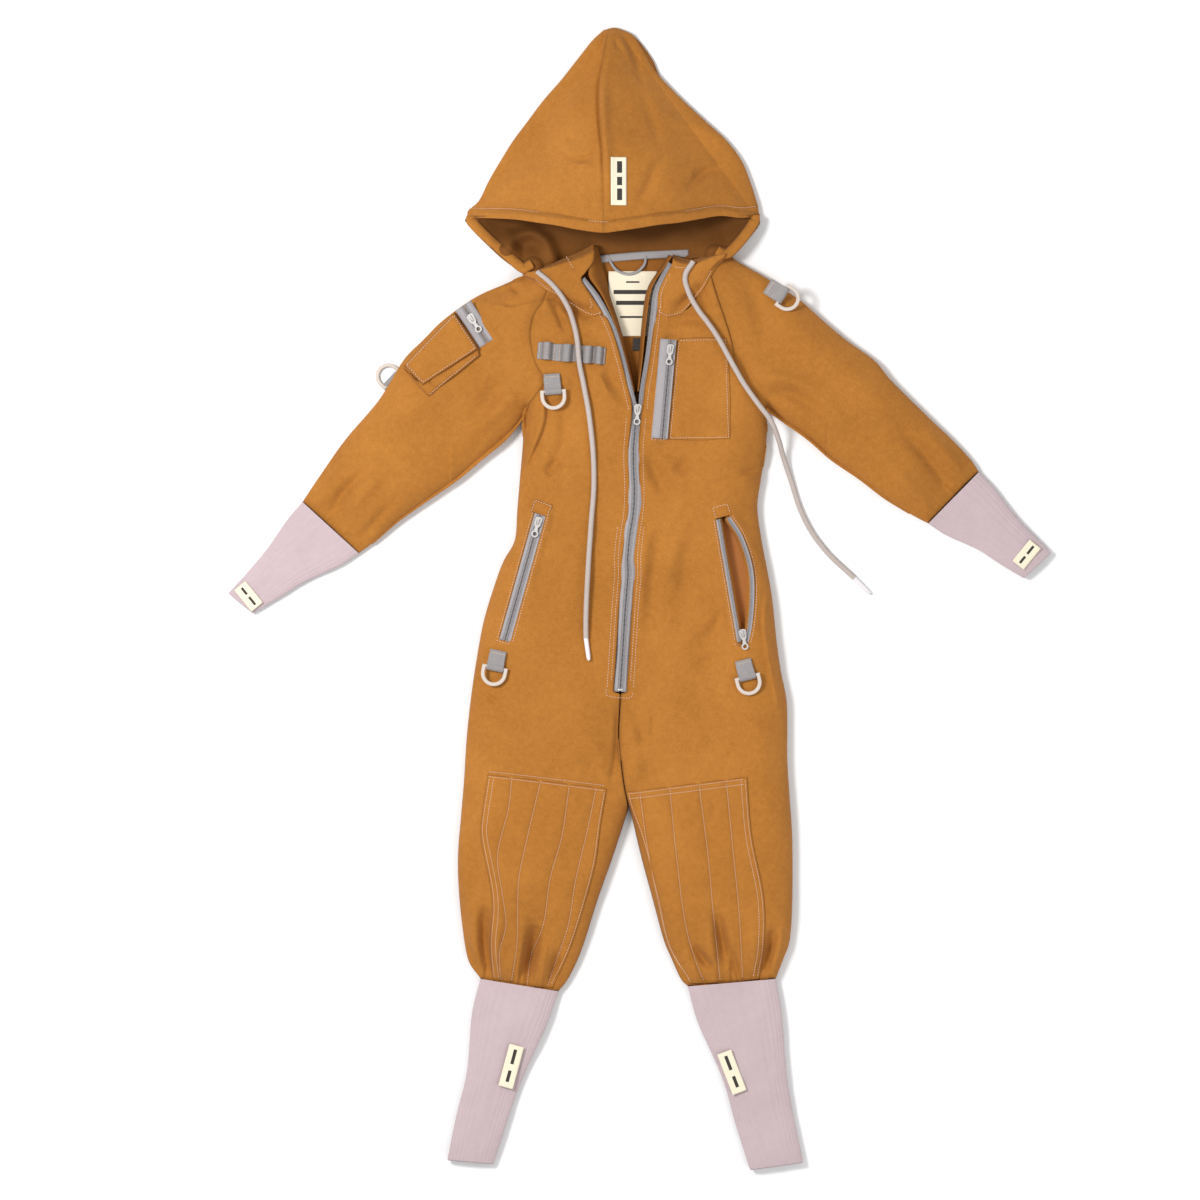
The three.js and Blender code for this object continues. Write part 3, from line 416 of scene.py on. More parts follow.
def sums(tree, op, a, b, c=None):
    n = tree.nodes.new("ShaderNodeMath")
    n.operation = op
    for i, value in enumerate((a, b, c)):
        if value is None:
            continue
        if isinstance(value, (int, float)):
            n.inputs[i].default_value = value
        else:
            tree.links.new(value, n.inputs[i])
    return n.outputs[0]


def make_weave():
    """Plain weave with slubs: a height, and a shade around 0.5."""
    tree, gin, gout = group("weave", [("Place", "NodeSocketVector", None),
                                      ("Threads", "NodeSocketFloat", 1400.0)],
                            [("Height", "NodeSocketFloat"), ("Shade", "NodeSocketFloat")])
    split = add(tree, "ShaderNodeSeparateXYZ", [(0, gin.outputs[0])])
    waves = []
    for i in (0, 1):
        turn = sums(tree, "MULTIPLY", split.outputs[i], gin.outputs[1])
        wobble = add(tree, "ShaderNodeTexNoise", [(0, gin.outputs[0])])
        wobble.inputs["Scale"].default_value = 55 + 12 * i
        turn = sums(tree, "ADD", turn, sums(tree, "MULTIPLY", wobble.outputs["Fac"], 9.0))
        waves.append(sums(tree, "SINE", turn, 0.0))
    cross = sums(tree, "MULTIPLY", waves[0], waves[1])
    slubs = []
    for stretch in ((260, 2600, 900), (2600, 260, 900)):
        m = add(tree, "ShaderNodeMapping", [(0, gin.outputs[0])])
        m.inputs["Scale"].default_value = stretch
        s = add(tree, "ShaderNodeTexNoise", [(0, m.outputs[0])])
        s.inputs["Scale"].default_value = 1.0
        s.inputs["Detail"].default_value = 2.0
        slubs.append(s.outputs["Fac"])
    slub = sums(tree, "MULTIPLY", sums(tree, "ADD", slubs[0], slubs[1]), 0.5)
    height = sums(tree, "ADD", sums(tree, "MULTIPLY", cross, 0.25), slub)
    tree.links.new(height, gout.inputs[0])
    tree.links.new(slub, gout.inputs[1])
    return tree


def make_mottle():
    """Cloudy fading: large soft patches plus finer handling marks, around 0.5."""
    tree, gin, gout = group("mottle", [("Place", "NodeSocketVector", None)],
                            [("Shade", "NodeSocketFloat")])
    soft = add(tree, "ShaderNodeTexNoise", [(0, gin.outputs[0])])
    soft.inputs["Scale"].default_value = 13
    soft.inputs["Detail"].default_value = 3
    fine = add(tree, "ShaderNodeTexNoise", [(0, gin.outputs[0])])
    fine.inputs["Scale"].default_value = 150
    fine.inputs["Detail"].default_value = 4
    mix = sums(tree, "ADD", sums(tree, "MULTIPLY", soft.outputs["Fac"], 0.6),
               sums(tree, "MULTIPLY", fine.outputs["Fac"], 0.4))
    tree.links.new(mix, gout.inputs[0])
    return tree


WEAVE = make_weave()
MOTTLE = make_mottle()


def tone(r, g, b):
    """A linear colour from everyday 0-255 values."""
    return tuple(((c / 255 + 0.055) / 1.055) ** 2.4 if c > 10 else c / 3295 for c in (r, g, b)) + (1,)


def finish_of(name, dark, light, roughness=0.85, bump=0.25, distance=0.0003, threads=1400,
              sheen=0.0, shade_gain=1.6, seam=False, metallic=0.0, place="Object"):
    m = bpy.data.materials.new(name)
    m.use_nodes = True
    tree = m.node_tree
    shader = tree.nodes["Principled BSDF"]
    where = add(tree, "ShaderNodeTexCoord").outputs[place]
    weave = add(tree, "ShaderNodeGroup", node_tree=WEAVE)
    weave.inputs[1].default_value = threads
    mottle = add(tree, "ShaderNodeGroup", node_tree=MOTTLE)
    tree.links.new(where, weave.inputs[0])
    tree.links.new(where, mottle.inputs[0])
    s = sums(tree, "ADD", sums(tree, "MULTIPLY", weave.outputs[1], 0.55),
             sums(tree, "MULTIPLY", mottle.outputs[0], 0.45))
    s = sums(tree, "MULTIPLY_ADD", sums(tree, "SUBTRACT", s, 0.5), shade_gain, 0.5)
    colour = add(tree, "ShaderNodeMix", data_type="RGBA")
    colour.inputs[6].default_value = dark
    colour.inputs[7].default_value = light
    tree.links.new(s, colour.inputs[0])
    out = colour.outputs[2]
    # Painted shade: where the 'seam' attribute is set, the colour is darkened towards 0.62 of the dark
    # tone, for the shade at seams, edges, creases and under the hood's brim.
    if seam:
        seam_shade_amount = add(tree, "ShaderNodeAttribute", attribute_name="seam")
        painted_shade_colour = add(tree, "ShaderNodeMix", data_type="RGBA")
        painted_shade_colour.inputs[7].default_value = tuple(0.62 * c for c in dark[:3]) + (1,)
        tree.links.new(out, painted_shade_colour.inputs[6])
        tree.links.new(sums(tree, "MULTIPLY", seam_shade_amount.outputs["Fac"], 0.55), painted_shade_colour.inputs[0])
        out = painted_shade_colour.outputs[2]
    tree.links.new(out, shader.inputs["Base Color"])
    rough = sums(tree, "MULTIPLY_ADD", weave.outputs[1], 0.12, roughness - 0.06)
    tree.links.new(rough, shader.inputs["Roughness"])
    b = add(tree, "ShaderNodeBump")
    b.inputs["Strength"].default_value = bump
    b.inputs["Distance"].default_value = distance
    tree.links.new(weave.outputs[0], b.inputs["Height"])
    tree.links.new(b.outputs[0], shader.inputs["Normal"])
    shader.inputs["Metallic"].default_value = metallic
    shader.inputs["Sheen Weight"].default_value = sheen
    shader.inputs["Sheen Roughness"].default_value = 0.6
    shader.inputs["Specular IOR Level"].default_value = 0.25
    return m


# seam=True lets the 'seam' attribute paint shade into these finishes.
CANVAS = finish_of("canvas", tone(141, 86, 23), tone(184, 121, 48), seam=True, bump=0.5,
                   distance=0.0004, sheen=0.04, shade_gain=2.7)
CANVAS_IN = finish_of("canvas_inside", tone(122, 72, 20), tone(160, 101, 38), seam=True, bump=0.4)
# Painted shade: a darker copy of the canvas for the hood's inside, standing for the shade under its brim
# and roof.
HOOD_INSIDE_SHADE = finish_of("hood_inside_shade", tone(96, 55, 15), tone(132, 82, 28), seam=True, bump=0.4)
KNIT = finish_of("knit", tone(172, 152, 156), tone(198, 180, 183), threads=2600, bump=0.4,
                 distance=0.0003, sheen=0.15)
TAPE = finish_of("zip_tape", tone(140, 135, 137), tone(172, 167, 169), threads=3400, bump=0.3)
COIL = finish_of("zip_coil", tone(132, 129, 131), tone(160, 157, 159), roughness=0.5, bump=0.1)
WEBBING = finish_of("webbing", tone(124, 120, 119), tone(163, 158, 157), threads=1500, bump=0.9,
                    distance=0.0006, seam=True)
CORD = finish_of("cord", tone(162, 150, 144), tone(196, 185, 178), threads=4200, bump=0.6,
                 distance=0.0004)
TIP = finish_of("cord_tip", tone(214, 208, 212), tone(232, 228, 232), roughness=0.35, bump=0.05)
THREAD = finish_of("thread", tone(214, 180, 158), tone(232, 204, 186), threads=9000, bump=0.3)
LABEL = finish_of("label", tone(222, 212, 186), tone(238, 229, 206), threads=4200, bump=0.25)
INK = finish_of("label_print", tone(52, 48, 46), tone(66, 62, 58), bump=0.1)
NECK_TAPE = finish_of("neck_tape", tone(138, 134, 134), tone(168, 164, 163), threads=3000, bump=0.6)
METAL = finish_of("zip_metal", tone(186, 182, 178), tone(204, 200, 196), roughness=0.38, bump=0.04,
                  metallic=0.35)
RING = finish_of("ring", tone(190, 178, 168), tone(210, 198, 188), roughness=0.42, bump=0.05)


# ---------- mesh helpers ----------
def new_piece(name, mesh, material, body=None, replaced=()):
    mesh.materials.append(material)
    piece = bpy.data.objects.new(name, mesh)
    bpy.context.scene.collection.objects.link(piece)
    if body:
        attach(piece, body)
    if replaced:
        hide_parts(*replaced)
    return piece


def cloth_grid(name, nu, nv, shape, size=(1, 1), seam=None):
    """A grid of cloth; shape(u, v) gives x, y, z in pattern millimetres for shares 0..1."""
    bm = bmesh.new()
    bmesh.ops.create_grid(bm, x_segments=nu, y_segments=nv, size=0.5)
    mesh = bpy.data.meshes.new(name)
    bm.to_mesh(mesh)
    bm.free()
    co = np.empty(len(mesh.vertices) * 3)
    mesh.vertices.foreach_get("co", co)
    u, v = co[0::3] + 0.5, co[1::3] + 0.5
    p = np.stack(shape(u, v), -1)
    mesh.vertices.foreach_set("co", on_frame(p).ravel())
    corners = np.empty(len(mesh.loops), int)
    mesh.loops.foreach_get("vertex_index", corners)
    lay = mesh.uv_layers.new(name="lay")
    uv = np.stack([u[corners] * size[0], v[corners] * size[1]], -1)
    lay.data.foreach_set("uv", uv.ravel())
    # The 'seam' attribute is a painted-shade mask, 0 to 1, from the seam function; finishes made with
    # seam=True darken the colour where it is set.
    painted_shade_mask = mesh.attributes.new("seam", "FLOAT", "POINT")
    value = np.zeros(len(u)) if seam is None else seam(u, v, p[:, 0], p[:, 1])
    painted_shade_mask.data.foreach_set("value", np.clip(value, 0, 1).astype(np.float32))
    mesh.polygons.foreach_set("use_smooth", np.ones(len(mesh.polygons), bool))
    mesh.update()
    up = np.empty(len(mesh.polygons) * 3)
    mesh.polygons.foreach_get("normal", up)
    if up[2::3].mean() < -0.05:
        mesh.flip_normals()
    return mesh


def close_tube(mesh, capped=True):
    """Welds a tube's long seam, caps its ends and turns its faces outward."""
    bm = bmesh.new()
    bm.from_mesh(mesh)
    bmesh.ops.remove_doubles(bm, verts=bm.verts, dist=0.00002)
    if capped:
        bmesh.ops.holes_fill(bm, edges=[e for e in bm.edges if len(e.link_faces) == 1])
    bmesh.ops.recalc_face_normals(bm, faces=bm.faces)
    bm.to_mesh(mesh)
    bm.free()
    return mesh


def thicken(piece, thickness, offset=-1.0):
    m = piece.modifiers.new("cloth", "SOLIDIFY")
    m.thickness = thickness * MM
    m.offset = offset
    return piece


def patch(low, high, left, right):
    """Plan of a four-sided piece between its edges."""
    c00, c10 = left(np.zeros(1))[0], right(np.zeros(1))[0]
    c01, c11 = left(np.ones(1))[0], right(np.ones(1))[0]

    def plan(u, v):
        a, b = u[:, None], v[:, None]
        sides = (1 - a) * left(v) + a * right(v)
        ends = (1 - b) * low(u) + b * high(u)
        corners = ((1 - a) * (1 - b) * c00 + a * (1 - b) * c10 + (1 - a) * b * c01 + a * b * c11)
        return sides + ends - corners
    return plan


# ---------- drawcords ----------
CORD_D = 6.2
CORD_ROUTES = {
    "right": ([(-96, 567.6, 39), (-76.8, 550.8, 38), (-60, 526.8, 37.5), (-52, 505.2, 37.5),
               (-47.6, 484, 39.2), (-46.3, 470, 39.2), (-44.8, 456, 39.2), (-40, 432, 37.5),
               (-32.4, 387.6, 37.5), (-27.6, 319.2, 37.5), (-31.2, 262.8, 37.5),
               (-34.8, 207.6, 37.5), (-37.2, 152.4, 37.5), (-37.2, 128.4, 37.5)],
              (-33.6, 101, 37.5), 0.457),
    "left": ([(91.2, 579.6, 39), (81.6, 562, 38), (84, 547.2, 37.5), (96, 523.2, 38.3),
              (108, 507, 40.5), (119, 491, 41.5), (132, 468, 41.5), (142, 450, 40),
              (152, 433, 37.5), (169, 409, 38.1), (184, 389, 35.5), (193, 369, 24),
              (200, 346, 10), (208, 322, 4.1), (226, 271, 3.5), (249.6, 235.2, 3.5),
              (285.6, 200.4, 3.5)],
             (305, 181, 3.5), 0.450),
}


def tapered_tip(name, start, end):
    """A dipped cord end: a sleeve a little slimmer than the cord, closed by a rounded nose."""
    start, end = Vector(spot(*start)), Vector(spot(*end))
    way = end - start
    bm = bmesh.new()
    r = 0.5 * (CORD_D - 0.9) * MM
    bmesh.ops.create_circle(bm, cap_ends=True, segments=20, radius=r)
    face = bm.faces[:]
    for length, grow in ((way.length * 0.06, 1.06), (way.length * 0.74, 1.0),
                         (way.length * 0.12, 0.82), (way.length * 0.06, 0.5)):
        out = bmesh.ops.extrude_face_region(bm, geom=face)
        verts = [g for g in out["geom"] if isinstance(g, bmesh.types.BMVert)]
        bmesh.ops.delete(bm, geom=face, context="FACES_ONLY")
        face = [g for g in out["geom"] if isinstance(g, bmesh.types.BMFace)]
        bmesh.ops.translate(bm, verts=verts, vec=(0, 0, length))
        centre = sum((v.co for v in verts), Vector()) / len(verts)
        for v in verts:
            v.co.xy = centre.xy + (v.co.xy.normalized() * r * grow)
    bm.normal_update()
    turn = way.to_track_quat("Z", "Y").to_matrix()
    for v in bm.verts:
        v.co = start + turn @ v.co
    bmesh.ops.recalc_face_normals(bm, faces=bm.faces)
    mesh = bpy.data.meshes.new(name)
    bm.to_mesh(mesh)
    bm.free()
    mesh.polygons.foreach_set("use_smooth", np.ones(len(mesh.polygons), bool))
    return mesh


for side, (route, tip_end, length) in CORD_ROUTES.items():
    data = bpy.data.curves.new(f"drawcord_{side}", "CURVE")
    data.dimensions = "3D"
    spline = data.splines.new("BEZIER")
    spline.bezier_points.add(len(route) - 1)
    for knot, p in zip(spline.bezier_points, route):
        knot.co = spot(*p)
        knot.handle_left_type = knot.handle_right_type = "AUTO"
    spline.resolution_u = 10
    data.bevel_depth = CORD_D / 2 * MM
    data.bevel_resolution = 5
    data.use_fill_caps = True
    data.materials.append(CORD)
    lace = bpy.data.objects.new(f"cord_{side}", data)
    bpy.context.scene.collection.objects.link(lace)
    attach(lace, "trunk")
    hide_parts(f"drawcord_{side}")
    tip = new_piece(f"tip_{side}", tapered_tip(f"tip_{side}", route[-1], tip_end), TIP, "trunk",
                    [f"cord_tip_{side}"])


# ---------- the body's panels ----------
ZIP_LINES = {
    "right": Line(V_R + [(25.6, 402)]),
    "left": Line(V_L + [(25.6, 402)]),
}
CHAIN_SWAY = [(402, -0.4), (390, -1.4), (355, -2.2), (335, -0.8), (307, 2.2), (287, 2.8), (272, 2.2),
              (259, 0.6), (245, -0.4), (223, -1.0), (205, 0.9), (163, 0.0), (65, 0.0)]


def chain_x(y):
    """The closed zip's line, which sways a little off straight."""
    t = (ZIP_JOIN[1] - y) / (ZIP_JOIN[1] - ZIP_BOTTOM[1])
    sway = np.interp(-y, [-p[0] for p in CHAIN_SWAY], [p[1] for p in CHAIN_SWAY])
    return ZIP_JOIN[0] + t * (ZIP_BOTTOM[0] - ZIP_JOIN[0]) + sway


def front_inner(side):
    s = -1 if side == "right" else 1
    leg = LEG_R_IN if side == "right" else LEG_L_IN
    seam = [(14 + s, -76), (9 + s * 0.4, -50), (5 + s * 0.4, -20), (2 + s * 0.4, 10), (4 + s * 0.5, 56)]
    stop = [(4 + s * 0.8, 61.5), (4 + s * 7.2, 64), (4 + s * 7.6, 72)]
    zip_edge = [(chain_x(y) + s * (7.6 - 2.2 * ramp(y, 150, 250)), y) for y in range(90, 395, 19)]
    v = ZIP_LINES[side].beside(s * 5.4)
    return leg[:-1] + seam + stop + zip_edge, v


def front_panel(side):
    right = side == "right"
    out = Line((LEG_R_OUT[:-1] + RAGLAN_R) if right else (LEG_L_OUT[:-1] + RAGLAN_L))
    start, v_edge = front_inner(side)
    v_points = v_edge.points[::-1][4:]
    top = 514 if right else 522
    v_points = [tuple(p) for p in v_points if p[1] < top][::6]
    inner = Line(start + v_points + [(-19.5, 516) if right else (48.5, 524)])
    cuff = Line([(-164, -281), (-140, -288), (-110, -294), (-70, -296)] if right
                else [(191, -281), (160, -285), (120, -289), (85, -290)])
    neck = Line([(-84, 546), (-62, 532), (-41, 519), (-30, 514.5), (-19.5, 516)] if right
                else [(113, 562), (99, 542), (85, 523), (66, 517), (48.5, 524)])
    plan = patch(cuff, neck, out, inner)
    arm_share = (Line(LEG_R_OUT if right else LEG_L_OUT).length) / out.length
    legs_share = Line(start[:9]).length / inner.length
    wrap = 0.05

    def shape(u, v):
        t = np.clip((u - wrap) / (1 - 2 * wrap), 0, 1)
        p = plan(t, v)
        w_out = np.clip(1 - u / wrap, 0, 1)
        w_in = np.clip(1 - (1 - u) / wrap, 0, 1)
        rolled_out = 1 - ramp(v, arm_share - 0.015, arm_share + 0.03)
        rolled_in = 1 - ramp(v, legs_share * 0.9, legs_share)
        z = lie(p[:, 0], p[:, 1]) + 0.9
        across = plan(np.full(u.shape, 0.08), v) - plan(np.zeros(u.shape), v)
        across /= np.linalg.norm(across, axis=1, keepdims=True)
        back = plan(np.full(u.shape, 0.92), v) - plan(np.ones(u.shape), v)
        back /= np.linalg.norm(back, axis=1, keepdims=True)
        for w, rolled, way in ((w_out, rolled_out, across), (w_in, rolled_in, back)):
            drop = rolled * (z - 1.4) + (1 - rolled) * 2.2
            tuck = rolled * 11 + (1 - rolled) * 1.2
            z = z - np.where(w > 0, drop * edge_drop(w), 0)
            p = p + way * (tuck * w**1.6)[:, None]
        return p[:, 0], p[:, 1], z

    # Painted shade: darkens the colour along the zip edge, the raglan seam and the cut ends.
    def seam(u, v, x, y):
        t = np.clip((u - wrap) / (1 - 2 * wrap), 0, 1)
        edge = np.exp(-((1 - t) / 0.012)) * 0.7
        raglan = np.exp(-(t / 0.015)) * ramp(v, arm_share, arm_share + 0.02)
        ends = np.exp(-v / 0.004) * 0.8 + np.exp(-(1 - v) / 0.004) * 0.6
        return edge + raglan + ends

    mesh = cloth_grid(f"front_{side}", 110, 400, shape, (0.2, 0.86), seam)
    piece = new_piece(f"front_{side}", mesh, CANVAS, None, [f"front_panel_{side}", f"leg_{side}"])
    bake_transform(piece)
    return thicken(piece, 1.0)


HIP_BEND = {"right": (spot(-92, 36, 15), spot(-92, -70, 15)),
            "left": (spot(101, 36, 15), spot(101, -70, 15))}
for side in ("right", "left"):
    front_panel(side)


def back_panel(side):
    """Half of the back: flat on the surface, lifted in the middle of the neck opening."""
    right = side == "right"
    s = -1 if right else 1
    out = Line((LEG_R_OUT[:-1] + RAGLAN_R[:-1] + [(-100, 570), (-90, 584)]) if right
               else (LEG_L_OUT[:-1] + RAGLAN_L[:-1] + [(122, 572), (116, 586)])).beside(s * 5.0, 200)
    leg = LEG_R_IN if right else LEG_L_IN
    inner = Line(leg[:-1] + [(14, -72), (8, 0), (14, 100), (22, 240), (30, 420), (36, 583)])
    cuff = Line([tuple(out.points[0]), leg[0]], False)
    neck = Line([tuple(out.points[-1]), (36, 583)], False)
    plan = patch(cuff, neck, out, inner)

    def shape(u, v):
        p = plan(u, v)
        x, y = p[:, 0], p[:, 1]
        lift = ramp(y, 330, 400) * ramp(-np.abs(x - 12), -96, -60)
        z = 1.6 + 6.6 * lift + 0.5 * noise(x, y, 30, 12) * (0.3 + lift)
        return x, y, z

    # Painted shade: darkens the colour along both long edges of the back half.
    def seam(u, v, x, y):
        return np.exp(-(1 - u) / 0.012) * 0.8 + np.exp(-u / 0.012)

    mesh = cloth_grid(f"back_{side}", 46, 200, shape, (0.19, 0.86), seam)
    piece = new_piece(f"back_{side}", mesh, CANVAS_IN, None, ["back_panel"] if right else [])
    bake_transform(piece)
    return thicken(piece, 1.0, 0)


for side in ("right", "left"):
    back_panel(side)


# ---------- sleeves ----------
def sleeve(side):
    right = side == "right"
    upper = Line(ARM_R_UP if right else ARM_L_UP)
    lower = Line(ARM_R_LOW if right else ARM_L_LOW)
    tuck_x = 6 if right else -6
    raglan = Line([(x + tuck_x, y + 1) for x, y in (RAGLAN_R if right else RAGLAN_L)])
    wrist = Line([lower.points[-1], upper.points[-1]], False)
    wrap = 0.06
    plan = patch(raglan, wrist, lower, upper)

    def shape(u, v):
        t = np.clip((u - wrap) / (1 - 2 * wrap), 0, 1)
        p = plan(t, v)
        z = lie(p[:, 0], p[:, 1]) - 1.3 * (1 - ramp(v, 0.0, 0.07)) + 0.4
        across = plan(np.full(u.shape, 0.5), v)
        for w, end in ((np.clip(1 - u / wrap, 0, 1), 0.0), (np.clip(1 - (1 - u) / wrap, 0, 1), 1.0)):
            way = across - plan(np.full(u.shape, end), v)
            way /= np.linalg.norm(way, axis=1, keepdims=True)
            tucked = ramp(v, -0.001, 0.03) if end == 0 else ramp(v, 0.02, 0.1)
            drop = tucked * (z - 1.4) + (1 - tucked) * 1.5
            z = z - np.where(w > 0, drop * edge_drop(w), 0)
            p = p + way * (11 * tucked * w**1.6)[:, None]
        return p[:, 0], p[:, 1], z

    # Painted shade: darkens the colour at the raglan seam and at the wrist end.
    def seam(u, v, x, y):
        return np.exp(-v / 0.02) * 0.9 + np.exp(-(1 - v) / 0.008) * 0.8

    mesh = cloth_grid(f"sleeve_top_{side}", 110, 210, shape, (0.13, 0.33), seam)
    top = new_piece(f"sleeve_top_{side}", mesh, CANVAS, None, [f"sleeve_{side}"])
    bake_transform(top)
    thicken(top, 1.0)

    def under(u, v):
        p = plan(0.05 + 0.9 * u, v)
        return p[:, 0], p[:, 1], 1.6 + 0.5 * noise(p[:, 0], p[:, 1], 30, 14)

    mesh = cloth_grid(f"sleeve_under_{side}", 30, 70, under, (0.13, 0.33))
    low = new_piece(f"sleeve_under_{side}", mesh, CANVAS, None, [])
    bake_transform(low)
    thicken(low, 1.0, 0)


def arm_point(side, u, v, z):
    """A point on the sleeve's own axes: u down the arm, v across, to the upper edge +."""
    way = ARM_R_WAY if side == "right" else ARM_L_WAY
    x0, y0 = R_SHOULDER if side == "right" else L_SHOULDER
    s = -1 if side == "right" else 1
    return (x0 + u * way[0] - s * v * way[1], y0 + u * way[1] + s * v * way[0], z)


for side in ("right", "left"):
    sleeve(side)


# ---------- knitted cuffs ----------
def cuff(name, replaced, start_a, start_b, end_a, end_b, thick, body, ribs, waist):
    """A flattened tube of rib knit from the gathered seam to its open end."""
    a0, b0, a1, b1 = (np.array(p, float) for p in (start_a, start_b, end_a, end_b))
    span = (b0 - a0) / np.linalg.norm(b0 - a0)
    left = Line([a0, a0 * 0.8 + a1 * 0.2 - 0.6 * waist * span, a0 * 0.5 + a1 * 0.5 + waist * span,
                 a0 * 0.25 + a1 * 0.75 + 0.3 * waist * span, a1])
    right = Line([b0, b0 * 0.8 + b1 * 0.2 + 0.2 * waist * span, b0 * 0.5 + b1 * 0.5 - waist * span,
                  b0 * 0.25 + b1 * 0.75 - 0.8 * waist * span, b1])

    def shape(u, v):
        turn = 2 * np.pi * u
        across = np.cos(turn)
        flat = np.sign(across) * np.abs(across) ** 0.62
        inward = ramp(v, 0.93, 1.0)
        t = 0.5 - 0.5 * flat * (1 - 0.05 * inward)
        vv = np.minimum(v / 0.95, 1.0)
        p = left(vv) * (1 - t)[:, None] + right(vv) * t[:, None]
        up = np.sin(turn)
        full = np.sign(up) * np.abs(up) ** 0.55
        rib = np.cos(turn * ribs)
        swell = thick / 2 * (1 - 0.34 * ramp(v, 0.86, 0.97)) * (0.9 + 0.1 * np.cos(6.28 * v))
        z = thick / 2 + 0.6 + swell * full * (1 - 0.22 * inward) + 0.2 * rib * np.sign(up)
        z += (1.6 * noise(p[:, 0], p[:, 1], 30, 31) + 0.6 * noise(p[:, 0], p[:, 1], 12, 32)) * (up > 0)
        z = np.maximum(z, 0.6)
        back = (p - left(np.clip(vv - 0.02, 0, 1)) * (1 - t)[:, None]
                - right(np.clip(vv - 0.02, 0, 1)) * t[:, None])
        back /= np.maximum(np.linalg.norm(back, axis=1, keepdims=True), 1e-6)
        p = p - back * (9 * ramp(v, 0.955, 1.0))[:, None]
        return p[:, 0], p[:, 1], z

    mesh = close_tube(cloth_grid(name, ribs * 6, 90, shape, (0.16, 0.2)), False)
    return new_piece(name, mesh, KNIT, body, [replaced])


cuff("cuff_wrist_right", "wrist_cuff_right", ARM_R_LOW[-1], ARM_R_UP[-1],
     (-438, 158), (-467, 182), 13.5, "right_sleeve", 26, 2.5)
cuff("cuff_wrist_left", "wrist_cuff_left", ARM_L_LOW[-1], ARM_L_UP[-1],
     (489, 200), (522, 231), 13.5, "left_sleeve", 26, 2.5)
cuff("cuff_ankle_right", "ankle_cuff_right", LEG_R_OUT[0], LEG_R_IN[0],
     (-204, -499), (-148, -504), 15.5, "right_leg", 32, 4)
cuff("cuff_ankle_left", "ankle_cuff_left", LEG_L_IN[0], LEG_L_OUT[0],
     (160, -511), (224, -502), 15.5, "left_leg", 32, 4)


# ---------- the main zip and the pocket zips ----------
ZIP_Z = 33.0


def strip(name, line, d0, d1, z, nu=4, step=4.0, sag=None):
    """A flat band beside a line, from d0 to d1 to its left."""
    n = max(8, int(line.length / step))

    def shape(u, v):
        p = line(v)
        d = d0 + (d1 - d0) * u
        xy = p[:, :2] + line.side(v) * d[:, None]
        level = z(xy[:, 0], xy[:, 1]) if callable(z) else np.full(len(u), float(z))
        return xy[:, 0], xy[:, 1], level + (0 if sag is None else sag(u, v))
    return cloth_grid(name, nu, n, shape, (abs(d1 - d0) * MM, line.length * MM))


def repeat(name, template, places, material, body, bend=None, replaced=()):
    """Copies of one small bmesh at (x, y, z, turn, tilt) places, joined into one piece."""
    small = bpy.data.meshes.new(name)
    template.to_mesh(small)
    template.free()
    base = np.array([v.co[:] for v in small.vertices])
    big = bmesh.new()
    for _ in places:
        big.from_mesh(small)
    mesh = bpy.data.meshes.new(name)
    big.to_mesh(mesh)
    big.free()
    q = np.array(places, float)
    c, s = np.cos(q[:, 3])[:, None], np.sin(q[:, 3])[:, None]
    x = q[:, 0:1] + base[:, 0] * c - base[:, 1] * s
    y = q[:, 1:2] + base[:, 0] * s + base[:, 1] * c
    z = q[:, 2:3] + base[:, 2] + base[:, 0] * q[:, 4:5]
    mesh.vertices.foreach_set("co", on_frame(np.stack([x, y, z], -1).reshape(-1, 3)).ravel())
    mesh.polygons.foreach_set("use_smooth", np.ones(len(mesh.polygons), bool))
    mesh.update()
    piece = new_piece(name, mesh, material, None if bend else body, replaced)
    if bend:
        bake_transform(piece)
    return piece


def grain(length, width, height, sides=6, rings=3):
    """A small pod, long in x: one stitch of thread or one turn of a zip's coil."""
    bm = bmesh.new()
    bmesh.ops.create_uvsphere(bm, u_segments=sides, v_segments=rings, radius=0.5)
    for v in bm.verts:
        v.co = (v.co.z * length, v.co.y * width, v.co.x * height)
    bmesh.ops.recalc_face_normals(bm, faces=bm.faces)
    return bm


def along_line(line, pitch, z, offset=0.0, turn=0.0, start=0.0):
    """Evenly spaced places along a line; z is a height, or a function of x and y."""
    n = max(1, int((line.length - start) / pitch))
    t = (start + pitch * (np.arange(n) + 0.5)) / line.length
    side = line.side(t)
    xy = line(t)[:, :2] + offset * side
    angle = np.arctan2(-side[:, 0], side[:, 1]) + turn
    if callable(z):
        h = z(xy[:, 0], xy[:, 1])
        ahead = xy + 0.8 * np.column_stack([np.cos(angle), np.sin(angle)])
        tilt = (z(ahead[:, 0], ahead[:, 1]) - h) / 0.8
    else:
        h, tilt = np.full(n, float(z)), np.zeros(n)
    return [tuple(q) for q in np.column_stack([xy, h, angle, tilt])]


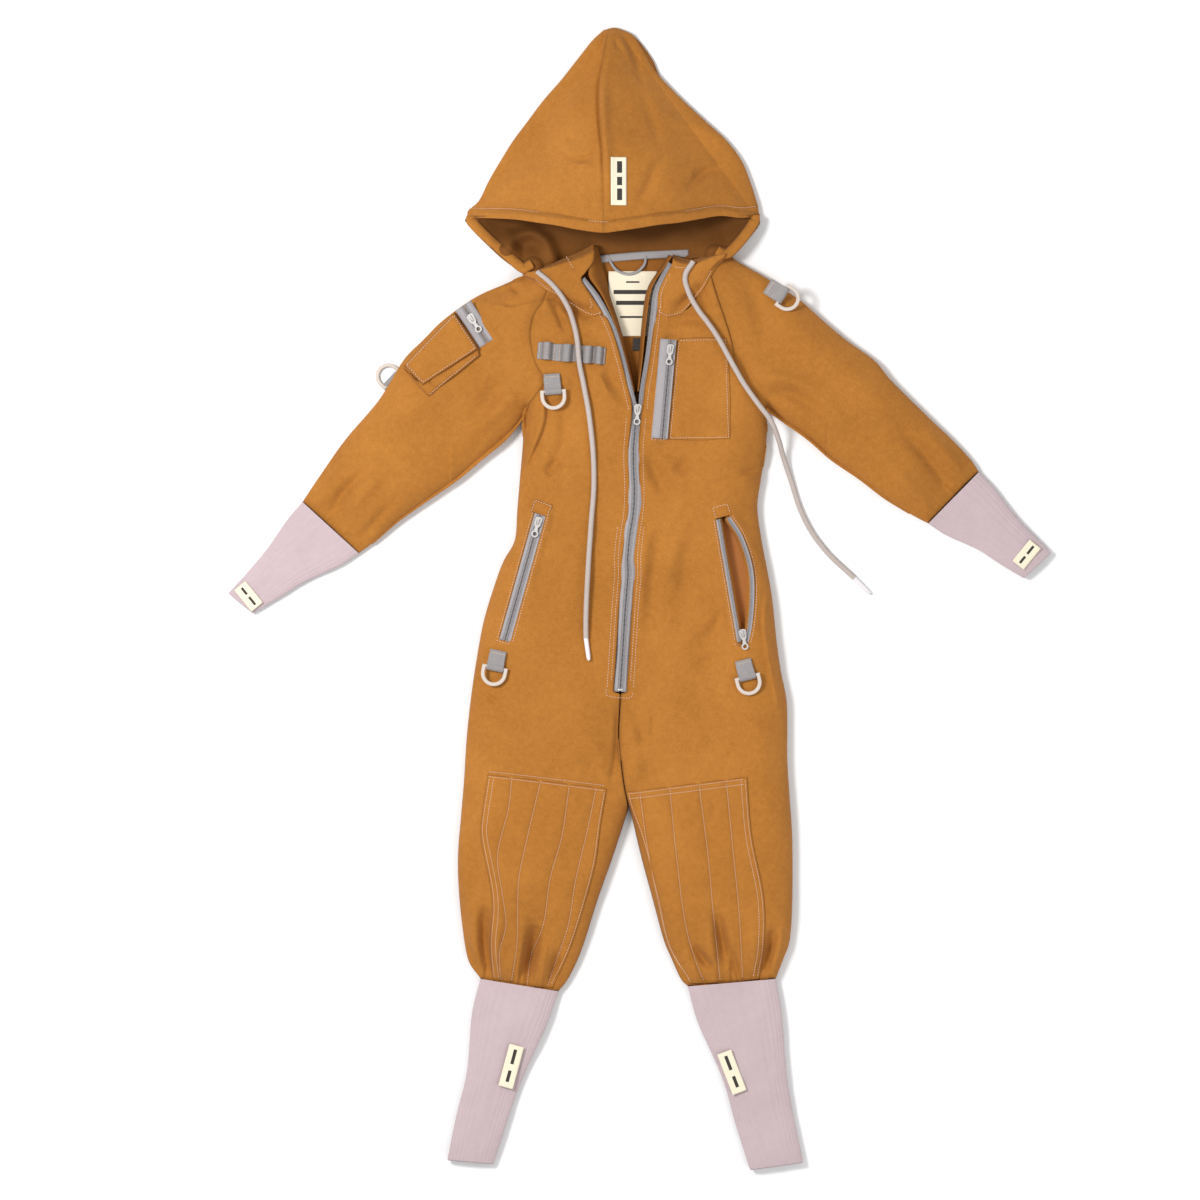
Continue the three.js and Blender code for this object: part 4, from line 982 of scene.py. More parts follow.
def zip_half(name, line, s, z, body, width, replaced=(), sag=None, coil_at=1.35, under=0.0):
    """One tape with its row of coil turns; s is the tape's side of the line."""
    def droop(u, v):
        d = u if s > 0 else 1 - u
        return -0.2 * np.sin(np.pi * u) - under * ramp(1.0 + (width - 1.0) * d, 5.2, width)

    droop = droop if sag is None else sag
    a, b = (s * 1.0, s * width) if s > 0 else (s * width, s * 1.0)
    tape = new_piece(name, strip(name, line, a, b, z, 6, 4.0, droop), TAPE, body, replaced)
    thicken(tape, 0.7)
    up = (lambda x, y: z(x, y) + 0.3) if callable(z) else z + 0.3
    a, b = (3.0, 3.9) if s > 0 else (-3.9, -3.0)
    guard = new_piece(f"{name}_guard", strip(f"{name}_guard", line, a, b, up, 2, 5.0), COIL, body, ())
    thicken(guard, 0.5)
    repeat(f"{name}_coil", grain(3.1, 1.3, 1.5), along_line(line, 1.5, up, s * coil_at, math.pi / 2),
           COIL, body)
    return tape


for side, s in (("right", -1), ("left", 1)):
    v = ZIP_LINES[side]
    whole = Line(np.vstack([v.points, [(chain_x(y), y) for y in np.linspace(397, 64, 60)]]), False)
    zip_half(f"main_zip_{side}", whole.beside(0.0, 170), s, ZIP_Z - 0.4, "trunk", 9.6,
             [f"main_zip_tape_{side}"], under=3.4)

stop = bmesh.new()
bmesh.ops.create_cube(stop, size=1)
bmesh.ops.scale(stop, verts=stop.verts, vec=(7.0, 2.4, 1.8))
bmesh.ops.bevel(stop, geom=stop.edges[:], offset=0.6, segments=2, profile=0.5, affect="EDGES",
                material=-1)
repeat("main_zip_stop", stop, [(4.2, 66.5, ZIP_Z + 0.2, 0, 0)], METAL, "trunk")


def pocket_zip(name, node, a, b, z, body, left_width, right_width, sag=None):
    line = Line([a, b], False)
    zip_half(f"{name}_a", line, -1, z, body, left_width, [node], sag)
    zip_half(f"{name}_b", line, 1, z, body, right_width)


pocket_zip("chest_zip_tape", "chest_zip", CHEST_ZIP[0], CHEST_ZIP[1], 37.2, "trunk", 13, 6.4,
           sag=lambda u, v: -2.2 * (1 - ramp(u, 0.0, 0.45)))
pocket_zip("hip_right_tape", "hip_zip_right", HIP_R[0], HIP_R[1], 32.6, "trunk", 6.8, 6.8)
zip_half("hip_left_tape_a", HIP_L_STRAIGHT, -1, 32.7, "trunk", 5.6, ["hip_zip_left"])
zip_half("hip_left_tape_b", HIP_L_BOW, 1, 32.7, "trunk", 5.6)


# ---------- collar ----------
def collar(name, low, high, left, right, node, tuck_end):
    plan = patch(Line(low), Line(high), Line(left), Line(right))

    def shape(u, v):
        p = plan(u, v)
        x, y = p[:, 0], p[:, 1]
        z = lie(x, y) * (1 - ramp(v, 0.1, 0.5)) + 34.6 * ramp(v, 0.1, 0.5)
        z = np.minimum(z + 1.7 + 0.9 * noise(x, y, 18, 21) + 0.5 * noise(x, y, 8, 22), 36.6)
        z = z - 16 * ramp(v, 0.86, 1.0) ** 1.6 - 1.6 * (1 - ramp(v, 0.0, 0.05))
        end = u if tuck_end == 0 else 1 - u
        z = z - 15 * (1 - ramp(end, 0.0, 0.12)) ** 2
        zip_end = 1 - u if tuck_end == 0 else u
        z = z - 1.6 * (1 - ramp(zip_end, 0.0, 0.03))
        return x, y, np.maximum(z, 9)

    # Painted shade: darkens the colour along the collar's lower seam and its upper edge.
    def seam(u, v, x, y):
        return np.exp(-v / 0.03) * 0.9 + np.exp(-(1 - v) / 0.05) * 0.5

    mesh = cloth_grid(name, 90, 56, shape, (0.11, 0.07), seam)
    piece = new_piece(name, mesh, CANVAS, "trunk", [node])
    return thicken(piece, 1.4)


collar("collar_band_right",
       [(-112, 562), (-84, 544), (-62, 530), (-41, 517), (-30, 512), (-15.5, 516)],
       [(-114, 566), (-99, 570), (-71, 581), (-45, 592), (-27, 602)],
       [(-112, 562), (-114, 566)],
       [(-15.5, 516), (-30, 538), (-42.5, 558), (-37, 567), (-28, 581), (-27, 602)],
       "collar_right", 0)
collar("collar_band_left",
       [(45, 520), (58, 511), (76, 516), (88, 527), (104, 546), (117, 569), (133, 586)],
       [(67, 589), (78, 585), (92, 583), (112, 588), (136, 591)],
       [(45, 520), (48, 535), (52, 549), (60, 566), (66, 577), (67, 589)],
       [(133, 586), (136, 591)],
       "collar_left", 1)


def facing(name, outer, inner):
    """The turned-in strip beside an open zip, sloping down to the back."""
    a, b = Line(outer), Line(inner)

    def shape(u, v):
        p = a(v) * (1 - u)[:, None] + b(v) * u[:, None]
        z = 31.4 - 19 * ramp(u, 0.1, 1.25) - 9 * u * ramp(v, 0.55, 1.0)
        return p[:, 0], p[:, 1], z
    # Painted shade: the colour darkens towards the inner edge, where the strip slopes down into the
    # opening.
    mesh = cloth_grid(name, 14, 70, shape, (0.02, 0.2), lambda u, v, x, y: 0.5 * np.exp(-(1 - u) / 0.2))
    return thicken(new_piece(name, mesh, CANVAS_IN, "trunk", ()), 1.2, 0)


facing("facing_right", [(-30, 598), (-34, 570), (-33, 560), (-18, 538), (-3, 505), (9, 466), (20, 424)],
       [(-24, 600), (-20, 586), (-14, 563), (-8, 537), (3, 503), (14, 464), (23, 424)])
facing("facing_left", [(66, 586), (57, 572), (42, 548), (36, 514), (31, 466), (25.5, 424)],
       [(62, 588), (52, 572), (37, 548), (31, 514), (27, 466), (24, 424)])


# ---------- hood ----------
BRIM = [(-180, 634), (-145, 632), (-121, 630), (-96, 626), (-72, 622), (-48, 617), (-19, 613),
        (1, 615), (26, 619), (50, 623), (74, 626), (100, 631), (124, 635), (149, 633), (171, 636)]
HOOD_R = [(-180, 634), (-179, 642), (-166, 654), (-154, 678), (-140, 702), (-125, 726), (-107, 750),
          (-89, 774), (-68, 798), (-49, 822), (-30, 846), (-16, 859)]
HOOD_L = [(171, 636), (169, 650), (160, 678), (150, 702), (132, 726), (106, 750), (80, 774),
          (60, 794), (46, 810), (34, 830), (20, 852), (10, 858)]
HOOD_TOP = [(-16, 859), (-3, 862), (10, 858)]
hood_outline = Line(np.vstack([Line(HOOD_R).points, Line(HOOD_TOP).points,
                               Line(HOOD_L[::-1]).points]), False)
BRIM_MID = (-17.0, 613.0)
HOOD_PEAK = (-2.0, 862.0)
HOOD_FOLDS = [
    ([(-12, 826), (-21, 800), (-22, 760), (-17, 700), (-16, 640)], -2.4, 2.6, ""),
    ([(-6, 826), (-14, 800), (-15, 760), (-11, 700), (-10, 640)], 1.6, 5, ""),
    ([(-66, 712), (-50, 700), (-34, 702), (-22, 716)], -2.4, 4, ""),
    ([(-58, 708), (-44, 694), (-28, 694)], 1.6, 6, ""),
    ([(-60, 730), (-48, 722)], -1.8, 5, ""),
    ([(-150, 664), (-110, 680), (-70, 690)], 1.6, 7, ""),
    ([(-150, 650), (-100, 656)], -1.4, 6, ""),
    ([(60, 708), (46, 690), (36, 666), (20, 640)], -2.6, 7, ""),
    ([(52, 716), (44, 742), (30, 780)], -1.6, 7, ""),
    ([(126, 690), (104, 686), (90, 672), (80, 664)], -3.2, 6, ""),
    ([(120, 700), (98, 696), (84, 684)], 2.0, 7, ""),
    ([(60, 750), (100, 742), (132, 724)], 1.4, 8, ""),
    ([(10, 850), (24, 820), (30, 790)], -1.6, 5, ""),
    ([(2, 852), (10, 836), (16, 820)], 1.4, 4, ""),
    ([(-4, 850), (2, 834)], -1.2, 3, ""),
]
HOOD_FOLD_LINES = fold_lines(HOOD_FOLDS)


def hood_lie(x, y):
    """Height of the hood's upper layer: a tent held up at the middle of its brim."""
    lobe_x = np.where(x < BRIM_MID[0], -176.0, 168.0)
    lobe_y = 634.0
    ax, ay = HOOD_PEAK[0] - lobe_x, HOOD_PEAK[1] - lobe_y
    area = (BRIM_MID[0] - lobe_x) * ay - (BRIM_MID[1] - lobe_y) * ax
    share = ((x - lobe_x) * ay - (y - lobe_y) * ax) / area
    share = np.clip(share, 0, 1.05)
    crown = 19 + 64.5 * np.tanh(share * 1.35) / np.tanh(1.35)
    d = near(x, y, hood_outline)[0]
    s = np.clip(d / 34.0, 0, 1)
    roll = (1 - (1 - s) ** 2.0) ** 0.5
    rise = np.zeros(x.shape)
    for line, height, width, _ in HOOD_FOLD_LINES:
        dd, _, along = near(x, y, line)
        rise += (1.7 * height * np.sin(np.pi * np.clip(along, 0.02, 0.98)) ** 0.6
                 * np.exp(-((dd / width) ** 2)))
    rise += 3.0 * noise(x, y, 54, 41) + 1.5 * noise(x, y, 24, 42) + 0.16 * noise(x, y, 6, 43)
    brim = near(x, y, BRIM_LINE)[0]
    rise -= 1.2 * np.exp(-(((brim - 11.5) / 1.4) ** 2)) - 1.0 * np.exp(-(((brim - 5) / 4.5) ** 2))
    return np.minimum(7 + (crown - 7) * roll + rise * roll, 86.5)


BRIM_LINE = Line(BRIM)


def hood_roof():
    plan = patch(BRIM_LINE, Line(HOOD_TOP), Line(HOOD_R), Line(HOOD_L))
    wrap, hem = 0.04, 0.04

    def shape(u, v):
        t = np.clip((u - wrap) / (1 - 2 * wrap), 0, 1)
        r = np.clip((v - hem) / (1 - 2 * hem), 0, 1)
        p = plan(t, r)
        z = hood_lie(p[:, 0], p[:, 1])
        centre = plan(np.full(u.shape, 0.5), np.clip(r, 0.1, 0.9))
        for w in (np.clip(1 - u / wrap, 0, 1), np.clip(1 - (1 - u) / wrap, 0, 1),
                  np.clip(1 - (1 - v) / hem, 0, 1)):
            way = centre - p
            way /= np.maximum(np.linalg.norm(way, axis=1, keepdims=True), 1e-6)
            z = z - np.where(w > 0, (z - 1.5) * edge_drop(w), 0)
            p = p + way * (9 * w**1.6)[:, None]
        w = np.clip(1 - v / hem, 0, 1)
        turn = np.minimum(w * 3.4, np.pi)
        back = np.clip(w * 3.4 - np.pi, 0, 1) / 0.26
        inset = np.sin(np.pi * np.clip(t, 0, 1)) ** 0.35
        p = p + np.column_stack([np.zeros(len(w)),
                                 (-1.7 * np.sin(turn) + 13 * back * (w > 0)) * inset])
        z = np.where((w > 0) & (u > wrap) & (u < 1 - wrap), z - 1.6 * (1 - np.cos(turn)) * inset, z)
        return p[:, 0], p[:, 1], z

    # Painted shade: darkens the colour in the groove behind the brim and along the centre seam.
    def seam(u, v, x, y):
        brim = near(x, y, BRIM_LINE)[0]
        return (0.5 * np.exp(-(((brim - 11.5) / 1.3) ** 2))
                + 0.9 * np.exp(-((near(x, y, CENTRE_SEAM)[0] / 1.1) ** 2)))

    mesh = cloth_grid("hood_crown", 220, 200, shape, (0.36, 0.26), seam)
    piece = new_piece("hood_crown", mesh, CANVAS, "hood", ["hood_panel_right", "hood_panel_left"])
    return thicken(piece, 1.2)


CENTRE_SEAM = Line([(-12, 850), (-21, 800), (-22, 760), (-18, 700), (-16.5, 640), (-16.5, 612)])
hood_roof()

RIM_R = [(-100, 574), (-112, 567), (-134, 581), (-157, 603), (-176, 624), (-178, 632), (-168, 644),
         (-138, 690), (-88, 756), (-36, 822)]
RIM_L = [(118, 589), (130, 586), (137, 585), (155, 605), (169, 625), (168, 634), (160, 648), (134, 700),
         (82, 752), (28, 816)]
HOOD_ROLL = Line([(-128, 598), (-123, 609), (-104, 615), (-88, 607), (-80, 593), (-76, 584)])


def hood_bowl():
    right, left = Line(RIM_R), Line(RIM_L)
    plan = patch(Line([(-100, 574), (-70, 580), (-20, 584), (30, 586), (80, 588), (118, 589)]),
                 Line([(-46, 822), (-4, 846), (38, 816)]), right, left)
    wrap = 0.05

    def shape(u, v):
        t = np.clip((u - wrap) / (1 - 2 * wrap), 0, 1)
        p = plan(t, v)
        x, y = p[:, 0], p[:, 1]
        d = np.minimum(near(x, y, right)[0], near(x, y, left)[0])
        rim = 27 - 9 * ramp(y, 590, 630)
        z = 4.5 + (rim - 4.5) * (1 - ramp(d, 2, 40)) ** 1.2
        z += 3.2 * (1 - ramp(y, 590, 630)) * ramp(d, 10, 40)
        z += 1.1 * np.exp(-(((d - 6) / 4) ** 2)) - 1.0 * np.exp(-(((d - 12) / 1.5) ** 2))
        z += 13 * np.exp(-((near(x, y, HOOD_ROLL)[0] / 9) ** 2))
        z += (2.2 * noise(x, y, 34, 51) + 1.2 * noise(x, y, 15, 52)) * ramp(d, 8, 30)
        across = plan(np.full(u.shape, 0.5), v)
        for w, end in ((np.clip(1 - u / wrap, 0, 1), 0.0), (np.clip(1 - (1 - u) / wrap, 0, 1), 1.0)):
            way = across - plan(np.full(u.shape, end), v)
            way /= np.linalg.norm(way, axis=1, keepdims=True)
            z = z - np.where(w > 0, (z - 1.5) * edge_drop(w), 0)
            p = p + way * (9 * w**1.6)[:, None]
        ceiling = hood_lie(x, y) - 3 - 5 * ramp(y, 640, 660)
        z = np.where(y > 622, np.minimum(z, ceiling), z)
        return p[:, 0], p[:, 1], np.maximum(z, 1.4)

    # Painted shade: darkens the colour in the groove beside the rim, and more towards the brim, under
    # the roof.
    def seam(u, v, x, y):
        d = np.minimum(near(x, y, right)[0], near(x, y, left)[0])
        return 0.7 * np.exp(-(((d - 12) / 1.4) ** 2)) + 0.9 * ramp(y, 588, 616)

    mesh = cloth_grid("hood_lining", 170, 150, shape, (0.33, 0.26), seam)
    # The inner layer takes the darker painted-shade canvas.
    piece = new_piece("hood_lining", mesh, HOOD_INSIDE_SHADE, None, ["hood_back"])
    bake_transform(piece)
    return thicken(piece, 1.2)


hood_bowl()


def rim_hem(name, points):
    """The turned hem round the lower half of the hood's opening."""
    line = Line(points)

    def shape(u, v):
        p = line(v)
        across = 6.4 * (1 - np.cos(np.pi * u)) - 0.6
        xy = p[:, :2] - line.side(v) * across[:, None]
        rim = p[:, 2] + 0.6 * noise(xy[:, 0], xy[:, 1], 8, 53)
        return xy[:, 0], xy[:, 1], rim + 3.2 * np.sin(np.pi * u) ** 0.6 - 7.5 * u**2 - 3 * (1 - u) ** 4

    # The seam mask paints shade along the hem's fold as it turns down.
    mesh = cloth_grid(name, 16, 90, shape, (0.013, line.length * MM),
                      lambda u, v, x, y: 0.9 * np.exp(-(((u - 0.9) / 0.06) ** 2)))
    piece = new_piece(name, mesh, CANVAS, None, ())
    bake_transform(piece)
    return thicken(piece, 1.2)


rim_hem("hood_hem_right", [(-181, 634, 17), (-179, 625, 20), (-158, 603, 25), (-134, 582, 28),
                           (-113, 566, 30), (-99, 572, 31)][::-1])
rim_hem("hood_hem_left", [(171, 636, 17), (170, 626, 20), (155, 604, 25), (139, 587, 28),
                          (127, 583, 30), (117, 588, 30)])
under_fold = Line([(14, 856), (26, 846), (42, 824), (50, 806), (58, 792)])
mesh = strip("hood_under_fold", under_fold, -16, 0, 8, 8, 3.0,
             lambda u, v: 3 * np.sin(np.pi * u) - 4 * u)
thicken(new_piece("hood_under_fold", mesh, CANVAS_IN, "hood", ()), 1.2, 0)


# ---------- neck trim ----------
def rope(name, points, diameter, material, body, replaced, rings=12):
    line = Line(points)
    n = int(line.length / 1.5)

    def shape(u, v):
        p = line(v)
        side = line.side(v)
        turn = 2 * np.pi * u
        r = diameter / 2
        return (p[:, 0] + side[:, 0] * r * np.cos(turn), p[:, 1] + side[:, 1] * r * np.cos(turn),
                p[:, 2] + r * np.sin(turn))
    mesh = close_tube(cloth_grid(name, rings, n, shape, (0.01, line.length * MM)))
    return new_piece(name, mesh, material, body, replaced)


rope("hanger_cord", [(-10, 588, 9), (-7, 579, 11), (0, 570, 12), (12, 565.5, 12.4), (24, 568, 12),
                     (33, 577, 11.5), (35, 588, 9)], 3.4, NECK_TAPE, "trunk", ["hanger_loop"])
band = Line([(-22, 583.5), (30, 588), (86, 590.5)])
mesh = strip("neck_binding", band, -4.6, 4.6, 9.4, 6, 2.5, lambda u, v: 1.1 * np.sin(np.pi * u))
piece = new_piece("neck_binding", mesh, NECK_TAPE, None, ["neck_tape"])
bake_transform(piece)
thicken(piece, 0.8)


# ---------- labels ----------
def label(name, centre, size, turn, level, body, replaced, bars, material=LABEL, curl=0.5, lift=0.0):
    """A woven label with plain printed bars; level is a height or a function of x, y."""
    w, h = size
    c, s = math.cos(turn), math.sin(turn)

    def at(a, b):
        x, y = centre[0] + a * c - b * s, centre[1] + a * s + b * c
        z = level(x, y) if callable(level) else np.full(x.shape, float(level))
        return x, y, z

    def shape(u, v):
        x, y, z = at((u - 0.5) * w, (v - 0.5) * h)
        return x, y, z + lift + curl * (2 * np.abs(v - 0.5)) ** 3 + 0.15 * noise(x, y, 9, 61)
    mesh = cloth_grid(name, max(6, int(w / 2)), max(6, int(h / 2)), shape, (w * MM, h * MM))
    piece = thicken(new_piece(name, mesh, material, body, replaced), 0.6)
    for i, (a, b, bw, bh) in enumerate(bars):
        def bar(u, v, a=a, b=b, bw=bw, bh=bh):
            x, y, z = at(a + (u - 0.5) * bw, b + (v - 0.5) * bh)
            vv = (b + (v - 0.5) * bh) / h + 0.5
            return x, y, z + lift + 0.13 + curl * (2 * np.abs(vv - 0.5)) ** 3 + 0.15 * noise(x, y, 9, 61)
        mesh = cloth_grid(f"{name}_bar_{i}", max(2, int(bw / 3)), max(2, int(bh / 3)), bar)
        new_piece(f"{name}_bar_{i}", mesh, INK, body, ())
    return piece


label("neck_label_patch", (19, 530), (58, 78), 0.0, 9.6, "trunk", ["neck_label"],
      [(0, 26, 16, 2), (-2, 14, 42, 5), (0, 1, 40, 5), (0, -16, 30, 2.4)], lift=0.5)
label("size_tab", (24.5, 481), (11, 15), 0.0, 9.9, "trunk", [], [], material=INK, lift=1.0)
label("hood_label_patch", (2, 673.5), (18.5, 58), 0.0, hood_lie, "hood", ["hood_label"],
      [(1, 17, 6, 14), (1, 0, 6, 10), (1, -16, 6, 14)], lift=1.3, curl=0.2)
label("wrist_label_patch_right", (-442.4, 178.4), (17.5, 33), math.radians(219.2), 13.9,
      "right_sleeve", ["wrist_label_right"], [(0, 7, 3, 12), (0, -8, 3, 10)], lift=1.6)
label("wrist_label_patch_left", (492, 228.5), (17.5, 33), math.radians(-39.1), 13.9, "left_sleeve",
      ["wrist_label_left"], [(0, 7, 3, 12), (0, -8, 3, 10)], lift=1.6)
label("ankle_label_patch_right", (-127, -386), (18, 52), math.radians(-15), 16.4, "right_leg",
      ["ankle_label_right"], [(0, 12, 4, 18), (0, -12, 4, 14)], lift=1.2)
label("ankle_label_patch_left", (138, -393), (18, 52), math.radians(21), 16.4, "left_leg",
      ["ankle_label_left"], [(0, 12, 4, 18), (0, -12, 4, 14)], lift=1.2)


# ---------- patches ----------
def sewn_patch(name, low, high, left, right, lift, level, material, body, replaced, bend=None,
               quilt=(), nu=90, nv=120, hem=3.0):
    a, b, c, d = Line(low), Line(high), Line(left), Line(right)
    plan = patch(a, b, c, d)

    def to_edge(x, y):
        return np.minimum(np.minimum(near(x, y, a)[0], near(x, y, b)[0]),
                          np.minimum(near(x, y, c)[0], near(x, y, d)[0]))

    def to_quilting(x, y):
        return np.min([near(x, y, line)[0] for line in quilt], axis=0)

    def height(x, y):
        edge = to_edge(x, y)
        z = level(x, y) + 0.5 + (lift - 0.5) * (1 - (1 - np.clip(edge / hem, 0, 1)) ** 2) ** 0.5
        z -= 0.7 * np.exp(-(((edge - 2.6) / 0.9) ** 2))
        if quilt:
            q = to_quilting(x, y)
            z += 1.1 * (1 - np.exp(-((q / 5) ** 2))) - 0.7 * np.exp(-((q / 1.2) ** 2))
        return z

    def shape(u, v):
        p = plan(u, v)
        return p[:, 0], p[:, 1], height(p[:, 0], p[:, 1])

    # Painted shade: darkens the colour along the patch's edges and its quilting lines.
    def seam(u, v, x, y):
        edge = to_edge(x, y)
        m = 0.8 * np.exp(-edge / 0.9)
        if quilt:
            q = to_quilting(x, y)
            m += 0.4 * np.exp(-((q / 1.5) ** 2))
        return m

    mesh = cloth_grid(name, nu, nv, shape, (0.1, 0.12), seam)
    piece = new_piece(name, mesh, material, None if bend else body, replaced)
    if bend:
        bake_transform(piece)
    thicken(piece, 1.0)
    return height


chest_height = sewn_patch("chest_pocket_patch", [(62, 366), (100, 365), (136, 367)],
                          [(73, 487.5), (100, 489), (132, 488)], [(62, 366), (68, 426), (73, 487.5)],
                          [(136, 367), (136, 426), (132, 488)], 2.8, lie, CANVAS, "trunk",
                          ["chest_pocket"])

QUILT_R = [Line(q) for q in (
    [(-126, -38), (-130, -76), (-143, -131), (-138, -175), (-133, -214), (-141, -250), (-139, -284)],
    [(-91, -42), (-102, -87), (-117, -156), (-119, -197), (-120, -239), (-127, -286)],
    [(-57, -47), (-66, -109), (-80, -159), (-88, -214), (-103, -253), (-108, -290)],
    [(-25, -52), (-36, -104), (-50, -164), (-58, -214), (-74, -262), (-84, -291)])]
QUILT_L = [Line(q) for q in (
    [(27, -55), (36, -120), (49, -186), (63, -242), (88, -285)],
    [(63, -50), (71, -131), (82, -214), (96, -264), (106, -286)],
    [(98, -46), (109, -131), (115, -198), (124, -284)],
    [(131, -42), (139, -126), (146, -197), (151, -282)])]
LEG_RIDE = {side: ("trunk", f"{side}_leg", *HIP_BEND[side]) for side in ("right", "left")}
knee_r = sewn_patch("knee_patch_quilted_right", [(-149, -284), (-112, -291), (-77, -292)],
                    [(-155, -35), (-84, -43), (-12, -52)],
                    [(-149, -284), (-153, -239), (-150, -184), (-163, -115), (-163, -90), (-155, -35)],
                    [(-77, -292), (-53, -236), (-27, -149), (-19, -94), (-12, -52)], 1.6, lie, CANVAS,
                    None, ["knee_patch_right"], LEG_RIDE["right"], QUILT_R, 110, 170)
knee_l = sewn_patch("knee_patch_quilted_left", [(86, -287), (130, -287), (171, -282)],
                    [(11, -56), (84, -47), (156, -38)],
                    [(86, -287), (60, -239), (47, -184), (30, -115), (16, -76), (11, -56)],
                    [(171, -282), (177, -239), (176, -180), (162, -110), (156, -38)], 1.6, lie, CANVAS,
                    None, ["knee_patch_left"], LEG_RIDE["left"], QUILT_L, 110, 170)


welt_r = sewn_patch("hip_welt_right", [(-103.5, 280), (-93, 276.5), (-82.5, 273)],
                    [(-98, 295), (-87.5, 291), (-77, 287.5)], [(-103.5, 280), (-98, 295)],
                    [(-82.5, 273), (-77, 287.5)], 2.0, lambda x, y: 32.4 + 0 * x, CANVAS, "trunk", [],
                    nu=24, nv=20, hem=1.4)
welt_l = sewn_patch("hip_welt_left", [(117, 270.5), (127.5, 273.5), (138, 276)],
                    [(113.5, 286), (123, 288.5), (133, 290.5)], [(117, 270.5), (113.5, 286)],
                    [(138, 276), (133, 290.5)], 2.0, lambda x, y: 32.4 + 0 * x, CANVAS, "trunk", [],
                    nu=24, nv=20, hem=1.4)


# ---------- bellows pocket on the right sleeve ----------
def bellows():
    corners = [arm_point("right", *c, 0)[:2] for c in ((-20.5, 68), (-8.5, 17), (69, 36), (67, 69))]
    a, b, c, d = (np.array(q) for q in corners)

    def shape(u, v):
        wall_u = np.clip(np.minimum(u, 1 - u) / 0.1, 0, 1)
        wall_v = np.clip(np.minimum(v, 1 - v) / 0.1, 0, 1)
        su = np.clip((u - 0.06) / 0.88, 0, 1)
        sv = np.clip((v - 0.06) / 0.88, 0, 1)
        p = ((1 - su) * (1 - sv))[:, None] * a + ((1 - su) * sv)[:, None] * b \
            + (su * sv)[:, None] * c + (su * (1 - sv))[:, None] * d
        rise = np.minimum(1 - (1 - wall_u) ** 2, 1 - (1 - wall_v) ** 2)
        x, y = p[:, 0], p[:, 1]
        base = np.minimum(lie(x, y), 30.5)
        z = base + 0.4 + (13.2 - base + 29.5) * rise * 0.94
        pleat = np.exp(-(((wall_v - 0.5) / 0.2) ** 2)) + np.exp(-(((wall_u - 0.5) / 0.2) ** 2))
        p = p + (0.6 * np.exp(-(((wall_v - 0.5) / 0.25) ** 2)) * (v < 0.5))[:, None] * (c - a) / 60
        z += 0.9 * noise(x, y, 20, 71) * rise - 1.0 * pleat * (rise < 0.97)
        return x, y, np.minimum(z, 44.5)

    # The seam mask paints shade along the pocket's walls.
    mesh = cloth_grid("sleeve_pocket_bellows", 70, 60, shape, (0.08, 0.06),
                      lambda u, v, x, y: 0.9 * np.exp(-(((np.minimum(np.minimum(u, 1 - u),
                                                         np.minimum(v, 1 - v)) - 0.06) / 0.035) ** 2)))
    piece = new_piece("sleeve_pocket_bellows", mesh, CANVAS, "right_sleeve", ["sleeve_pocket"])
    thicken(piece, 1.0)


bellows()
gusset_height = sewn_patch("sleeve_pocket_gusset",
                           [(-226, 416.4), (-214, 427), (-190, 446), (-164, 467)],
                           [(-256, 452), (-236, 437), (-200, 458), (-166, 476)],
                           [(-226, 416.4), (-241, 434), (-256, 452)], [(-164, 467), (-166, 476)], 6.5,
                           lambda x, y: np.minimum(lie(x, y), 31), CANVAS, "right_sleeve", [],
                           quilt=[Line([(-238, 436), (-231, 426), (-225, 418)]),
                                  Line([(-226, 438), (-220, 431), (-214, 428)])], nu=60, nv=40, hem=4)
a = arm_point("right", -34, 66, 0)[:2]
b = arm_point("right", -21, 14, 0)[:2]
line = Line([a, b], False)
zip_half("sleeve_zip_tape_a", line, -1, 33.4, "right_sleeve", 11.4, ["sleeve_zip"],
         lambda u, v: -1.6 * (1 - ramp(u, 0.0, 0.4)))
zip_half("sleeve_zip_tape_b", line, 1, 33.4, "right_sleeve", 11.0, (),
         lambda u, v: -1.6 * ramp(u, 0.6, 1.0))


# ---------- webbing ----------
def tab(name, x, y, turn, level, body):
    """Webbing folded round a ring's bar: down from the seam, round the bar and back beneath."""
    section = Line([(20.6, 1.0), (16, 3.2), (8, 3.4), (3.6, 4.6), (1.2, 6.1), (-1.6, 5.6), (-3.3, 3.2),
                    (-1.6, 1.0), (2, 0.7), (12, 0.7), (19.6, 0.7)])
    c, s = math.cos(turn), math.sin(turn)

    def shape(u, v):
        q = section(v)
        a = (u - 0.5) * (20 + 0.5 * noise(v * 90, v * 0, 8, 81)) + 0.5 * noise(v * 40, v * 0, 7, 82)
        return (x + a * c - q[:, 0] * s, y + a * s + q[:, 0] * c,
                level + q[:, 1] + 0.25 * noise(a, q[:, 0], 5, 83))
    mesh = cloth_grid(name, 16, 70, shape, (0.02, 0.05))
    piece = new_piece(name, mesh, WEBBING, body, [name.replace("_web", "_ring_tab")])
    thicken(piece, 1.0)
    box = [(a * c - b * s + x, a * s + b * c + y) for a, b in
           ((-8, 17.5), (8, 17.5), (8, 9.5), (-8, 9.5), (-8, 17.5))]
    places = along_line(Line(box, False), 2.7, level + 4.0)
    repeat(f"{name}_thread", grain(2.1, 0.8, 0.5), places, THREAD, body)


